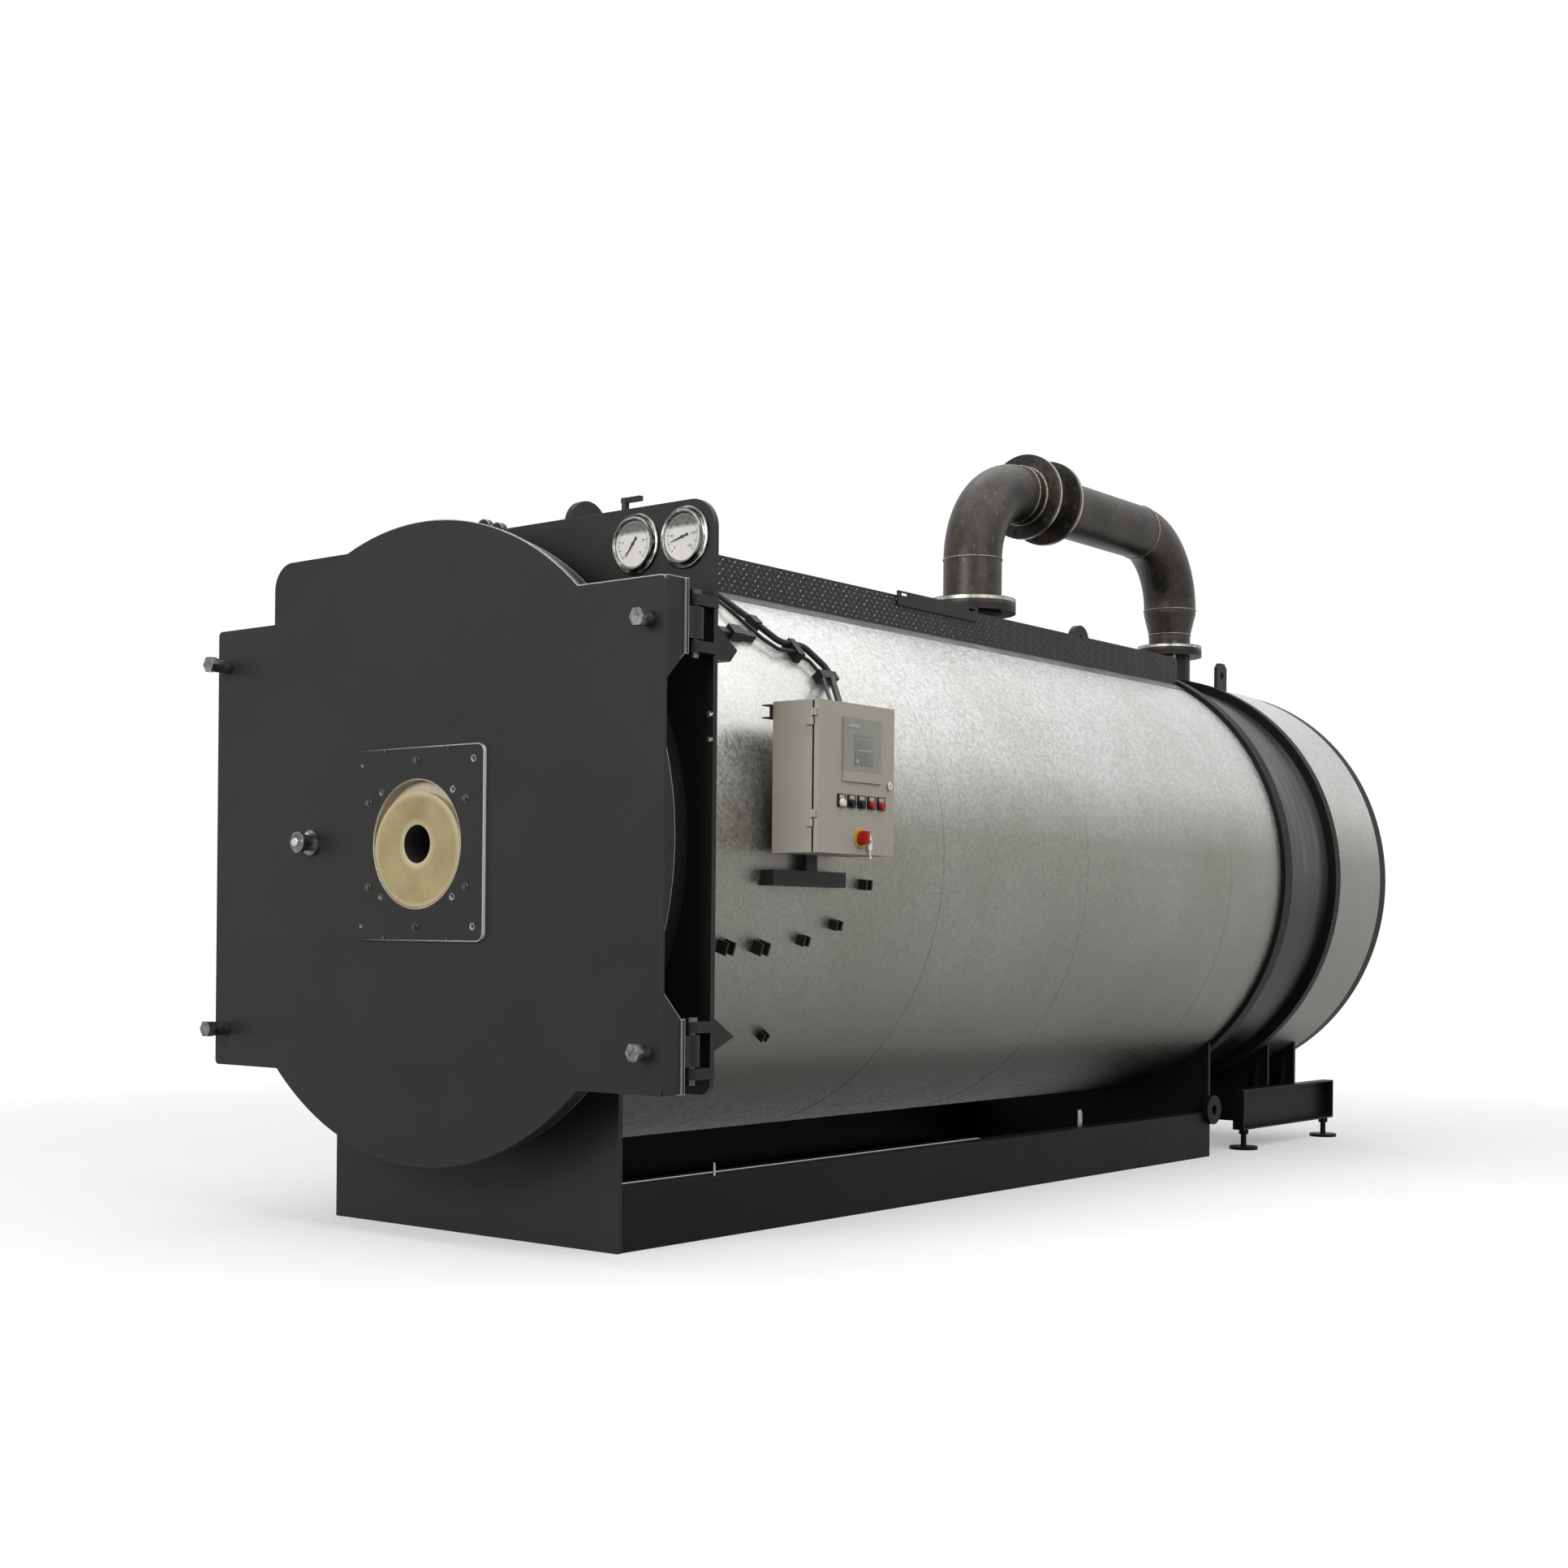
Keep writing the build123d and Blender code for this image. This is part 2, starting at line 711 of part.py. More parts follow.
# Metal strips along the foot of the walkway sides
lips = []
for side in (-1, 1):
    lx0 = walk_half_w if side > 0 else -walk_half_w - lip_w
    strip = block(lx0, lx0 + lip_w, back_y, clad_end_y, axis_z, walk_top_z)
    strip = strip - bar_y_dir(clad_r, back_y - 1, clad_end_y + 1)
    strip = strip & bar_y_dir(clad_r + lip_t, back_y - 1, clad_end_y + 1)
    lips.append(strip)
save("walkway_lips", Compound(children=lips))

# Bar bracket on the walkway side
bar_z = walk_top_z - bar_drop
bar = block(walk_half_w, walk_half_w + bar_t, bar_y, bar_y + bar_len, bar_z, bar_z + bar_h)
slot_z0 = bar_z + bar_slot_up
slot_z1 = slot_z0 + bar_slot_h
for hole_y in (bar_y + bar_slot_inset, bar_y + bar_len - bar_slot_inset):
    slot_y0 = hole_y - bar_slot_len / 2
    slot_y1 = hole_y + bar_slot_len / 2
    bar = bar - block(walk_half_w - 1, walk_half_w + bar_t + 1, slot_y0, slot_y1, slot_z0, slot_z1)
save("walkway_bar", bar)

# Riser nozzle on the boiler
riser_nozzle = bar_z_dir(pipe_r, axis_z, nozzle_top_z, 0, riser_y)
riser_nozzle = riser_nozzle + bar_z_dir(flange_r, nozzle_top_z - flange_t, nozzle_top_z, 0, riser_y)
riser_nozzle = riser_nozzle - bar_z_dir(pipe_r - pipe_wall, axis_z - 1, nozzle_top_z + 1, 0, riser_y)
riser_nozzle = riser_nozzle - bar_y_dir(shell_r, 0, ring_end_y)
save("riser_nozzle", riser_nozzle)

# Riser pipe with its elbow and flanges
riser_path = FilletPolyline(
    (0, riser_y, nozzle_top_z), (0, riser_y, run_z), (0, spool_y, run_z), radius=elbow_r
)
riser_start = Plane(origin=(0, riser_y, nozzle_top_z), z_dir=(0, 0, 1))
riser_pipe = sweep(riser_start * Circle(pipe_r), path=riser_path)
riser_pipe = riser_pipe + bar_z_dir(flange_r, nozzle_top_z, nozzle_top_z + flange_t, 0, riser_y)
riser_pipe = riser_pipe + bar_y_dir(flange_r, spool_y - flange_t, spool_y, 0, run_z)
riser_pipe = riser_pipe - sweep(riser_start * Circle(pipe_r - pipe_wall), path=riser_path)
save("riser_pipe", riser_pipe)

# Spool between the two free flanges
spool_end = spool_y + spool_len
save("flow_spool", ring_y(pipe_r, pipe_r - pipe_wall, spool_y, spool_end, 0, run_z))

# Return pipe with its elbow, reducer and flanges
return_path = FilletPolyline(
    (0, spool_end, run_z), (0, return_y, run_z), (0, return_y, reducer_top_z), radius=elbow_r
)
return_start = Plane(origin=(0, spool_end, run_z), z_dir=(0, 1, 0))
red_h = reducer_top_z - reducer_low_z
red_mid = (reducer_top_z + reducer_low_z) / 2
return_pipe = sweep(return_start * Circle(pipe_r), path=return_path)
return_pipe = return_pipe + Pos(0, return_y, red_mid) * Cone(small_pipe_r, pipe_r, red_h)
return_pipe = return_pipe + bar_z_dir(small_pipe_r, return_nozzle_top_z, reducer_low_z, 0, return_y)
small_top = return_nozzle_top_z + small_flange_t
return_pipe = return_pipe + bar_z_dir(small_flange_r, return_nozzle_top_z, small_top, 0, return_y)
return_pipe = return_pipe + bar_y_dir(flange_r, spool_end, spool_end + flange_t, 0, run_z)
return_bore = sweep(return_start * Circle(pipe_r - pipe_wall), path=return_path)
red_bore = Cone(small_pipe_r - pipe_wall, pipe_r - pipe_wall, red_h)
return_bore = return_bore + Pos(0, return_y, red_mid) * red_bore
small_bore = bar_z_dir(small_pipe_r - pipe_wall, return_nozzle_top_z - 1, reducer_low_z, 0, return_y)
return_pipe = return_pipe - return_bore - small_bore
save("return_pipe", return_pipe)

# Return nozzle on the module
return_nozzle = bar_z_dir(small_pipe_r, axis_z, return_nozzle_top_z, 0, return_y)
small_low = return_nozzle_top_z - small_flange_t
return_nozzle = return_nozzle + bar_z_dir(small_flange_r, small_low, return_nozzle_top_z, 0, return_y)
bore_top = return_nozzle_top_z + 1
return_nozzle = return_nozzle - bar_z_dir(small_pipe_r - pipe_wall, axis_z - 1, bore_top, 0, return_y)
return_nozzle = return_nozzle - bar_y_dir(module_bore_r, 0, cover_end_y)
save("return_nozzle", return_nozzle)

# Lifting lugs on the boiler crown, welded to the pressure shell
lifting_lugs = []
for lug_y, half, head_z in ((lug_front_y, lug_r, lug_eye_z), (lug_rear_y, lug_rear_r, lug_rear_eye_z)):
    lug_face = Pos(lug_y, head_z) * Circle(half)
    body_h = head_z - axis_z
    lug_face = lug_face + Pos(lug_y, axis_z + body_h / 2) * Rectangle(2 * half, body_h)
    lug_face = lug_face - Pos(lug_y, head_z) * Circle(lug_hole_r)
    lifting_lugs.append(plate_yz(lug_face, -lug_t / 2, lug_t / 2) - bar_y_dir(shell_r, 0, ring_end_y))
save("lifting_lugs", Compound(children=lifting_lugs))

# Lifting lugs on the module
module_lugs = []
for side in (-1, 1):
    base_z = crown_z(module_r, module_lug_x)
    tall = module_lug_h + module_lug_root
    lug_face = Pos(module_lug_y, base_z + module_lug_h - tall / 2) * Rectangle(module_lug_w, tall)
    lug_top = lug_face.vertices().sort_by(Axis.Y)[2:]
    lug_face = chamfer(lug_top, module_lug_chamfer)
    lug_face = lug_face - Pos(module_lug_y, base_z + module_lug_hole_up) * Circle(module_lug_hole_r)
    lx0 = side * module_lug_x - module_lug_t / 2
    module_lugs.append(plate_yz(lug_face, lx0, lx0 + module_lug_t) - bar_y_dir(module_r, 0, cover_end_y))
save("module_lugs", Compound(children=module_lugs))

# Base beams, channels open to the inside
saddle_end = clad_end_y - saddle_set_back
saddle_y = saddle_end - saddle_t
beams = []
for side in (-1, 1):
    bx0 = beam_half_w - beam_flange if side > 0 else -beam_half_w
    beam = block(bx0, bx0 + beam_flange, back_y, saddle_y, 0, beam_h)
    cut0 = bx0 - 1 if side > 0 else bx0 + beam_t
    cut = block(cut0, cut0 + beam_flange - beam_t + 1, back_y - 1, saddle_y + 1, beam_t, beam_h - beam_t)
    beams.append(beam - cut)
save("base_beams", Compound(children=beams))

# Rear saddle of the boiler
saddle = block(-beam_half_w, beam_half_w, saddle_y, saddle_end, 0, saddle_top_z)
saddle = saddle - bar_y_dir(clad_r, saddle_y - 1, saddle_end + 1)
save("rear_saddle", saddle)

# Lashing eyes at the rear end of the base
eyes = []
for side in (-1, 1):
    ex0 = beam_half_w if side > 0 else -beam_half_w - eye_t
    eye_y = saddle_end
    eye = bar_x_dir(eye_r, ex0, ex0 + eye_t, eye_y, eye_z)
    eyes.append(eye - bar_x_dir(eye_hole_r, ex0 - 1, ex0 + eye_t + 1, eye_y, eye_z))
save("lashing_eyes", Compound(children=eyes))

# Frame beams of the module, channels open to the outside
frame_top = frame_low_z + frame_h
frame_end = frame_y + frame_len
frame_beams = []
for side in (-1, 1):
    fx0 = frame_x if side > 0 else -frame_x - frame_flange
    beam = block(fx0, fx0 + frame_flange, frame_y, frame_end, frame_low_z, frame_top)
    cut0 = fx0 + frame_t if side > 0 else fx0 - 1
    cut1 = cut0 + frame_flange - frame_t + 1
    cut_y0 = frame_y + frame_t
    cut_y1 = frame_end - frame_t
    cut = block(cut0, cut1, cut_y0, cut_y1, frame_low_z + frame_t, frame_top - frame_t)
    frame_beams.append(beam - cut)
save("module_beams", Compound(children=frame_beams))

# Cradle plates between the beams and the module, with ribs
rests = []
for rest_y in (rest_front_y, rest_rear_y):
    rest = block(-frame_x, frame_x, rest_y, rest_y + rest_t, frame_low_z + frame_t, rest_top_z)
    for side in (-1, 1):
        rib_x0 = frame_x - rest_rib_in if side > 0 else -frame_x + rest_rib_in - rest_rib_t
        for way in (-1, 1):
            edge_y = rest_y + rest_t if way > 0 else rest_y
            far_y = edge_y + way * rest_rib_len
            rib_z = frame_low_z + frame_t
            rib_pts = [(edge_y, rib_z), (far_y, rib_z), (edge_y, frame_top + rest_rib_h)]
            rest = rest + plate_yz(make_face(Polyline(*rib_pts, close=True)), rib_x0, rib_x0 + rest_rib_t)
    rests.append(rest - bar_y_dir(module_r, rest_y - 2 * rest_rib_len, rest_y + 2 * rest_rib_len))
save("module_rests", Compound(children=rests))

# Levelling feet of the module frame
feet = []
for side in (-1, 1):
    for fy in (frame_y + foot_inset, frame_end - foot_inset):
        fx = side * (frame_x + frame_flange / 2)
        foot = bar_z_dir(foot_pad_r, 0, foot_pad_t, fx, fy)
        foot = foot + bar_z_dir(foot_rod_r, foot_pad_t, frame_low_z, fx, fy)
        foot_nut = extrude(RegularPolygon(foot_nut_r, 6), foot_nut_t)
        foot = foot + Pos(fx, fy, frame_low_z - foot_nut_t) * foot_nut
        feet.append(foot)
save("levelling_feet", Compound(children=feet))

# Control cabinet body
cab_front_x = cab_back_x + cab_depth
cab_end_y = cab_y + cab_w
cab_top_z = cab_low_z + cab_h
cabinet = block(cab_back_x, cab_front_x, cab_y, cab_end_y, cab_low_z, cab_top_z)
in_y0 = cab_y + cab_wall
in_y1 = cab_end_y - cab_wall
in_z0 = cab_low_z + cab_wall
in_z1 = cab_top_z - cab_wall
save("cabinet_body", cabinet - block(cab_back_x + cab_wall, cab_front_x + 1, in_y0, in_y1, in_z0, in_z1))

# Mounting plate inside the cabinet, on four spacers
m = cab_plate_margin
px0 = cab_back_x + cab_wall + cab_plate_stand
inner_plate = block(px0, px0 + cab_plate_t, cab_y + m, cab_end_y - m, cab_low_z + m, cab_top_z - m)
for sy in (cab_y + 2 * m, cab_end_y - 2 * m):
    for sz in (cab_low_z + 2 * m, cab_top_z - 2 * m):
        inner_plate = inner_plate + bar_x_dir(cab_spacer_r, cab_back_x + cab_wall, px0, sy, sz)
save("cabinet_inner_plate", inner_plate)

# Cabinet door, a folded pan with the holes of the switch
door_x0 = cab_front_x + cab_door_gap
door_x1 = door_x0 + cab_door_t
cab_door = block(door_x0, door_x1, cab_y, cab_end_y, cab_low_z, cab_top_z)
cab_door = cab_door - block(door_x0 - 1, door_x1 - cab_wall, in_y0, in_y1, in_z0, in_z1)
cab_door = cab_door - bar_x_dir(switch_pin_r + switch_play, door_x0, door_x1 + 1, switch_y, switch_z)
cab_axis_x = cab_front_x + cab_door_gap / 2
cab_axis_y = cab_y - cab_hinge_out
leaf_y0 = cab_axis_y - cab_leaf_t / 2
leaf_y1 = cab_axis_y + cab_leaf_t / 2
leaf_x1 = door_x1 - cab_knuckle_in
for z0 in (cab_hinge_low_z, cab_hinge_high_z):
    k0 = z0 + cab_hinge_h + cab_hinge_gap
    k1 = k0 + cab_hinge_h
    knuckle = bar_z_dir(cab_hinge_r, k0, k1, cab_axis_x, cab_axis_y)
    knuckle = knuckle + block(cab_axis_x, leaf_x1, leaf_y0, leaf_y1, k0, k1)
    knuckle = knuckle + block(door_x0, leaf_x1, leaf_y0, cab_y, k0, k1)
    knuckle = knuckle - bar_z_dir(cab_pin_r + cab_pin_play, k0 - 1, k1 + 1, cab_axis_x, cab_axis_y)
    cab_door = cab_door + knuckle
save("cabinet_door", cab_door)

# Cabinet hinge halves with their pins
cab_hinges = []
for z0 in (cab_hinge_low_z, cab_hinge_high_z):
    z1 = z0 + cab_hinge_h
    leaf_x0 = cab_front_x - cab_leaf_len
    half_hinge = bar_z_dir(cab_hinge_r, z0, z1, cab_axis_x, cab_axis_y)
    half_hinge = half_hinge + block(leaf_x0, cab_axis_x, leaf_y0, leaf_y1, z0, z1)
    half_hinge = half_hinge + block(leaf_x0, cab_front_x - cab_knuckle_in, leaf_y0, cab_y, z0, z1)
    pin_top = z1 + cab_hinge_h + cab_hinge_gap
    half_hinge = half_hinge + bar_z_dir(cab_pin_r, z0, pin_top, cab_axis_x, cab_axis_y)
    cab_hinges.append(half_hinge)
save("cabinet_hinges", Compound(children=cab_hinges))

# Display on the cabinet door
display_y1 = display_y + display_w
display_z1 = display_z + display_h
save("cabinet_display", block(door_x1, door_x1 + display_t, display_y, display_y1, display_z, display_z1))

# Push buttons with their legend plates
buttons = []
for i in range(button_count):
    by = button_y + i * button_pitch
    lh = legend_w / 2
    button = block(door_x1, door_x1 + legend_t, by - lh, by + lh, button_z - lh, button_z + lh)
    button = button + bar_x_dir(button_r, door_x1, door_x1 + button_len, by, button_z)
    buttons.append(button)
save("cabinet_buttons", Compound(children=buttons))
save("cabinet_lock", bar_x_dir(lock_r, door_x1, door_x1 + lock_t, lock_y, lock_z))

# Main switch: plate on the door and turning handle
plate_x1 = door_x1 + switch_plate_t
switch_plate = bar_x_dir(switch_plate_r, door_x1, plate_x1, switch_y, switch_z)
switch_bore = bar_x_dir(switch_pin_r + switch_play, door_x1 - 1, plate_x1 + 1, switch_y, switch_z)
switch_plate = switch_plate - switch_bore
save("switch_plate", switch_plate)
grip_x = plate_x1 + switch_gap
grip_z = switch_r - switch_grip_in
gw = switch_grip_w / 2
handle = bar_x_dir(switch_r, grip_x, grip_x + switch_base_t, switch_y, switch_z)
grip_z0 = switch_z - grip_z
grip_z1 = switch_z + grip_z
handle = handle + block(grip_x, grip_x + switch_len, switch_y - gw, switch_y + gw, grip_z0, grip_z1)
handle = handle + bar_x_dir(switch_pin_r, door_x1 - cab_wall, grip_x, switch_y, switch_z)
save("switch_handle", handle)

# Cabinet bracket: lower bar, post and upper rail
hug = bar_y_dir(clad_r, 0, clad_end_y)
bracket = block(clad_r - tee_root, tee_x, tee_y, tee_y + tee_len, tee_z, tee_z + tee_h) - hug
post_x0 = clad_r + post_gap
bracket = bracket + block(post_x0, cab_back_x, post_y, post_y + post_w, tee_z, rail_z)
rail = block(post_x0, cab_back_x, rail_y, rail_y + rail_len, rail_z, rail_z + rail_h)
rail_z0 = rail_z + rail_t
rail_z1 = rail_z + rail_h - rail_t
rail = rail - block(post_x0 - 1, cab_back_x - rail_t, rail_y - 1, rail_y + rail_len + 1, rail_z0, rail_z1)
bracket = bracket + rail
save("cabinet_bracket", bracket)

# Power conduit and signal line from the walkway side to the cabinet top
line_r = clad_r + conduit_stand
entry_x = cab_back_x + conduit_entry_in
start_x = walk_half_w - conduit_start_in
start_z = crown_z(line_r, start_x)
start_deg = math.degrees(math.acos(start_x / line_r))
trim = block(0, walk_half_w, back_y, clad_end_y, axis_z, run_z)
power_pts = [(start_x, power_start_y, start_z)]
power_pts += [around(line_r, start_deg - deg, power_start_y + n * line_step) for deg, n in power_row]
power_pts += [(entry_x, power_entry_y, cab_top_z - entry_drop)]
power_path = FilletPolyline(*power_pts, radius=conduit_bend)
power_start = Plane(origin=power_path @ 0, z_dir=power_path % 0)
power_conduit = sweep(power_start * Circle(conduit_r), path=power_path) - trim - cabinet
save("power_conduit", power_conduit)
signal_pts = [(start_x, signal_start_y, start_z - signal_start_down)]
signal_pts += [around(line_r, start_deg - deg, signal_start_y + n * line_step) for deg, n in signal_row]
signal_pts += [(entry_x, signal_entry_y, cab_top_z - entry_drop)]
signal_path = FilletPolyline(*signal_pts, radius=signal_bend)
signal_start = Plane(origin=signal_path @ 0, z_dir=signal_path % 0)
signal_line = sweep(signal_start * Circle(signal_r), path=signal_path) - trim - cabinet
save("signal_line", signal_line)

# Clips that hold both lines to the cladding
clips = []
for deg, n, wide, tall in clip_row:
    clip = Box(clip_h + 2 * clip_root, wide * line_step, tall * line_step)
    clip = Pos(clad_r + clip_h / 2 - clip_root, 0, 0) * clip
    clip = Pos(0, power_start_y + n * line_step, axis_z) * Rot(0, deg - start_deg, 0) * clip
    clips.append(clip - bar_y_dir(clad_r, 0, clad_end_y) - power_conduit - signal_line)
save("conduit_clips", Compound(children=clips))

# Holder stubs on the cladding, open channels, and the sensor holder
stubs = []
for deg, n, part in stub_row:
    size = part * stub_step
    stub = Box(size + 2 * stub_root, size, size)
    stub = stub - Pos(stub_base, 0, 0) * Box(size + 2 * stub_root, size - 2 * stub_wall, size + 2)
    stub = Pos(clad_r + size / 2 - stub_root, 0, 0) * stub
    stub = Pos(0, n * stub_step, axis_z) * Rot(0, -deg, 0) * stub
    stubs.append(stub - bar_y_dir(clad_r, 0, clad_end_y))
sensor = Pos(clad_r + sensor_h / 2, sensor_y + sensor_len / 2, 0) * Box(sensor_h, sensor_len, sensor_w)
head_y = sensor_block_y + sensor_block_len / 2
sensor_head = Box(sensor_block_h, sensor_block_len, sensor_block_w)
sensor = sensor + Pos(clad_r + sensor_block_h / 2, head_y, 0) * sensor_head
sensor = Pos(0, 0, axis_z) * Rot(0, -sensor_deg, 0) * sensor
stubs.append(sensor - bar_y_dir(clad_r, 0, clad_end_y))
save("holder_stubs", Compound(children=stubs))
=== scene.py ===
import json
import math

import bmesh
import bpy
from mathutils import Matrix, Vector


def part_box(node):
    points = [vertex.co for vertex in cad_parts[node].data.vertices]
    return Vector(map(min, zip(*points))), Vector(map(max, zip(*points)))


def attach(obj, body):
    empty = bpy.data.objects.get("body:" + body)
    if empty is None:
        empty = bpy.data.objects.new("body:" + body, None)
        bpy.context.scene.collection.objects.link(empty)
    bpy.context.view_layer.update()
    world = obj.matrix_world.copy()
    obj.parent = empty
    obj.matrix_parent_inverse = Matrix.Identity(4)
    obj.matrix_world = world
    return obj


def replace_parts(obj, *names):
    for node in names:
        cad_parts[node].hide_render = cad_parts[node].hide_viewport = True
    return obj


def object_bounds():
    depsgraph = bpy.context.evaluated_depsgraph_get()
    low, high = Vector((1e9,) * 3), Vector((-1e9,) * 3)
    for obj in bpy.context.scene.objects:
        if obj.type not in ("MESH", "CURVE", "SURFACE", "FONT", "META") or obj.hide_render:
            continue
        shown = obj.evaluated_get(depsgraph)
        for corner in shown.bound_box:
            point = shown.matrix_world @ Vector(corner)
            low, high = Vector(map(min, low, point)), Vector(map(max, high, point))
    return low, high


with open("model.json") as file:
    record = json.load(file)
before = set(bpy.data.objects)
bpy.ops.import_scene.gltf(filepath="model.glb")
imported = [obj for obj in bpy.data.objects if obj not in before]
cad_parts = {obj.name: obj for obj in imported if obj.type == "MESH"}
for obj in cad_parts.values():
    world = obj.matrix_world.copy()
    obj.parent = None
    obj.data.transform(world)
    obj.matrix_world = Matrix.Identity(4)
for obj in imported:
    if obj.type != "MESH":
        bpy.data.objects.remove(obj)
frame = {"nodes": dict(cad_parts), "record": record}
cad_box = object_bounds()
nodes = frame["nodes"]

X = Vector((1, 0, 0))
Y = Vector((0, 1, 0))
Z = Vector((0, 0, 1))
# The boiler's axis, the cladding's radius and the heights between which its shade falls
AXIS_Z = 1.355
CLAD_R = 1.062
CLAD_SHADE_Z = (0.25, 2.45)
BAND_SHADE_Z = (0.3, 2.3)
# Half axes of the burner plug's face, how far it sits below the axis, and its bore
PLUG_WIDE, PLUG_HIGH, PLUG_DROP = 0.2165, 0.199, 0.0205
BORE_R = 0.066
# The pipe loop: its level run and its two upright pipes
PIPE_Z = 3.180
RISER_Y, RETURN_Y = 3.135, 5.050
# Where colour changes on one part: the painted highlight on the door rim's lip, the span along
# which the side studs darken, the display's foot and the painted shade at the top of the dials
RIM_LIP_Y = (-0.186, -0.180)
STUD_DARKENING_Y = (1.7, 3.0)
DISPLAY_FOOT_Z = (1.597, 1.599)
DIAL_SHADE_Z = (2.358, 2.372)


# Shader helpers
def start(name):
    mat = bpy.data.materials.new(name)
    mat.use_nodes = True
    tree = mat.node_tree
    tree.nodes.clear()
    out = tree.nodes.new("ShaderNodeOutputMaterial")
    bsdf = tree.nodes.new("ShaderNodeBsdfPrincipled")
    tree.links.new(bsdf.outputs["BSDF"], out.inputs["Surface"])
    coord = tree.nodes.new("ShaderNodeTexCoord").outputs["Object"]
    return mat, tree, bsdf, coord


def noise(tree, vec, scale, detail=4.0, rough=0.55):
    node = tree.nodes.new("ShaderNodeTexNoise")
    node.inputs["Scale"].default_value = scale
    node.inputs["Detail"].default_value = detail
    node.inputs["Roughness"].default_value = rough
    tree.links.new(vec, node.inputs["Vector"])
    return node.outputs["Fac"]


def cells(tree, vec, scale):
    node = tree.nodes.new("ShaderNodeTexVoronoi")
    node.inputs["Scale"].default_value = scale
    tree.links.new(vec, node.inputs["Vector"])
    grey = tree.nodes.new("ShaderNodeSeparateColor")
    tree.links.new(node.outputs["Color"], grey.inputs["Color"])
    return grey.outputs["Red"]


def stretch(tree, vec, scale):
    node = tree.nodes.new("ShaderNodeMapping")
    node.inputs["Scale"].default_value = scale
    tree.links.new(vec, node.inputs["Vector"])
    return node.outputs["Vector"]


def ramp(tree, fac, stops):
    node = tree.nodes.new("ShaderNodeValToRGB")
    band = node.color_ramp
    while len(band.elements) < len(stops):
        band.elements.new(0.5)
    for element, (pos, colour) in zip(band.elements, stops):
        element.position = pos
        element.color = (*colour, 1.0)
    tree.links.new(fac, node.inputs["Fac"])
    return node.outputs["Color"]


def span(tree, fac, low, high, from_low=0.0, from_high=1.0):
    node = tree.nodes.new("ShaderNodeMapRange")
    node.inputs["From Min"].default_value = from_low
    node.inputs["From Max"].default_value = from_high
    node.inputs["To Min"].default_value = low
    node.inputs["To Max"].default_value = high
    tree.links.new(fac, node.inputs["Value"])
    return node.outputs["Result"]


def mix(tree, fac, a, b, blend="MIX"):
    node = tree.nodes.new("ShaderNodeMix")
    node.data_type = "RGBA"
    node.blend_type = blend
    colour_in = [s for s in node.inputs if s.type == "RGBA"]
    factor_in = [s for s in node.inputs if s.type == "VALUE"][0]
    for socket, value in ((factor_in, fac), (colour_in[0], a), (colour_in[1], b)):
        if isinstance(value, bpy.types.NodeSocket):
            tree.links.new(value, socket)
        elif isinstance(value, float):
            socket.default_value = value
        else:
            socket.default_value = (*value, 1.0)
    return [s for s in node.outputs if s.type == "RGBA"][0]


def bump(tree, height, strength, distance):
    node = tree.nodes.new("ShaderNodeBump")
    node.inputs["Strength"].default_value = strength
    node.inputs["Distance"].default_value = distance
    tree.links.new(height, node.inputs["Height"])
    return node.outputs["Normal"]


def edge_mask(tree, radius, sharp=0.80, flat=0.985):
    bevel = tree.nodes.new("ShaderNodeBevel")
    bevel.samples = 4
    bevel.inputs["Radius"].default_value = radius
    geo = tree.nodes.new("ShaderNodeNewGeometry")
    dot = tree.nodes.new("ShaderNodeVectorMath")
    dot.operation = "DOT_PRODUCT"
    tree.links.new(bevel.outputs["Normal"], dot.inputs[0])
    tree.links.new(geo.outputs["Normal"], dot.inputs[1])
    return span(tree, dot.outputs["Value"], 1.0, 0.0, sharp, flat), bevel.outputs["Normal"]


def combine(tree, operation, a, b):
    node = tree.nodes.new("ShaderNodeMath")
    node.operation = operation
    for socket, value in ((node.inputs[0], a), (node.inputs[1], b)):
        if isinstance(value, float):
            socket.default_value = value
        else:
            tree.links.new(value, socket)
    return node.outputs[0]


def axes(tree, vec):
    node = tree.nodes.new("ShaderNodeSeparateXYZ")
    tree.links.new(vec, node.inputs["Vector"])
    return node.outputs


def away(tree, vec, x, z):
    flat = axes(tree, vec)
    dx = combine(tree, "SUBTRACT", flat["X"], x)
    dz = combine(tree, "SUBTRACT", flat["Z"], z)
    squares = [combine(tree, "MULTIPLY", d, d) for d in (dx, dz)]
    return combine(tree, "SQRT", combine(tree, "ADD", *squares), 0.0)


def seen_rays(tree):
    light = tree.nodes.new("ShaderNodeLightPath").outputs
    seen = combine(tree, "MAXIMUM", light["Is Camera Ray"], light["Is Glossy Ray"])
    return combine(tree, "MAXIMUM", seen, light["Is Transmission Ray"])


def grey(value):
    return (value, value, value)


def patchy(dark, light):
    return [(0.3, dark), (0.7, light)]


# Materials
ANTHRACITE = ((0.011, 0.011, 0.0105), (0.0165, 0.0165, 0.0158))
WORN_STEEL = patchy(grey(0.05), (0.30, 0.30, 0.29))


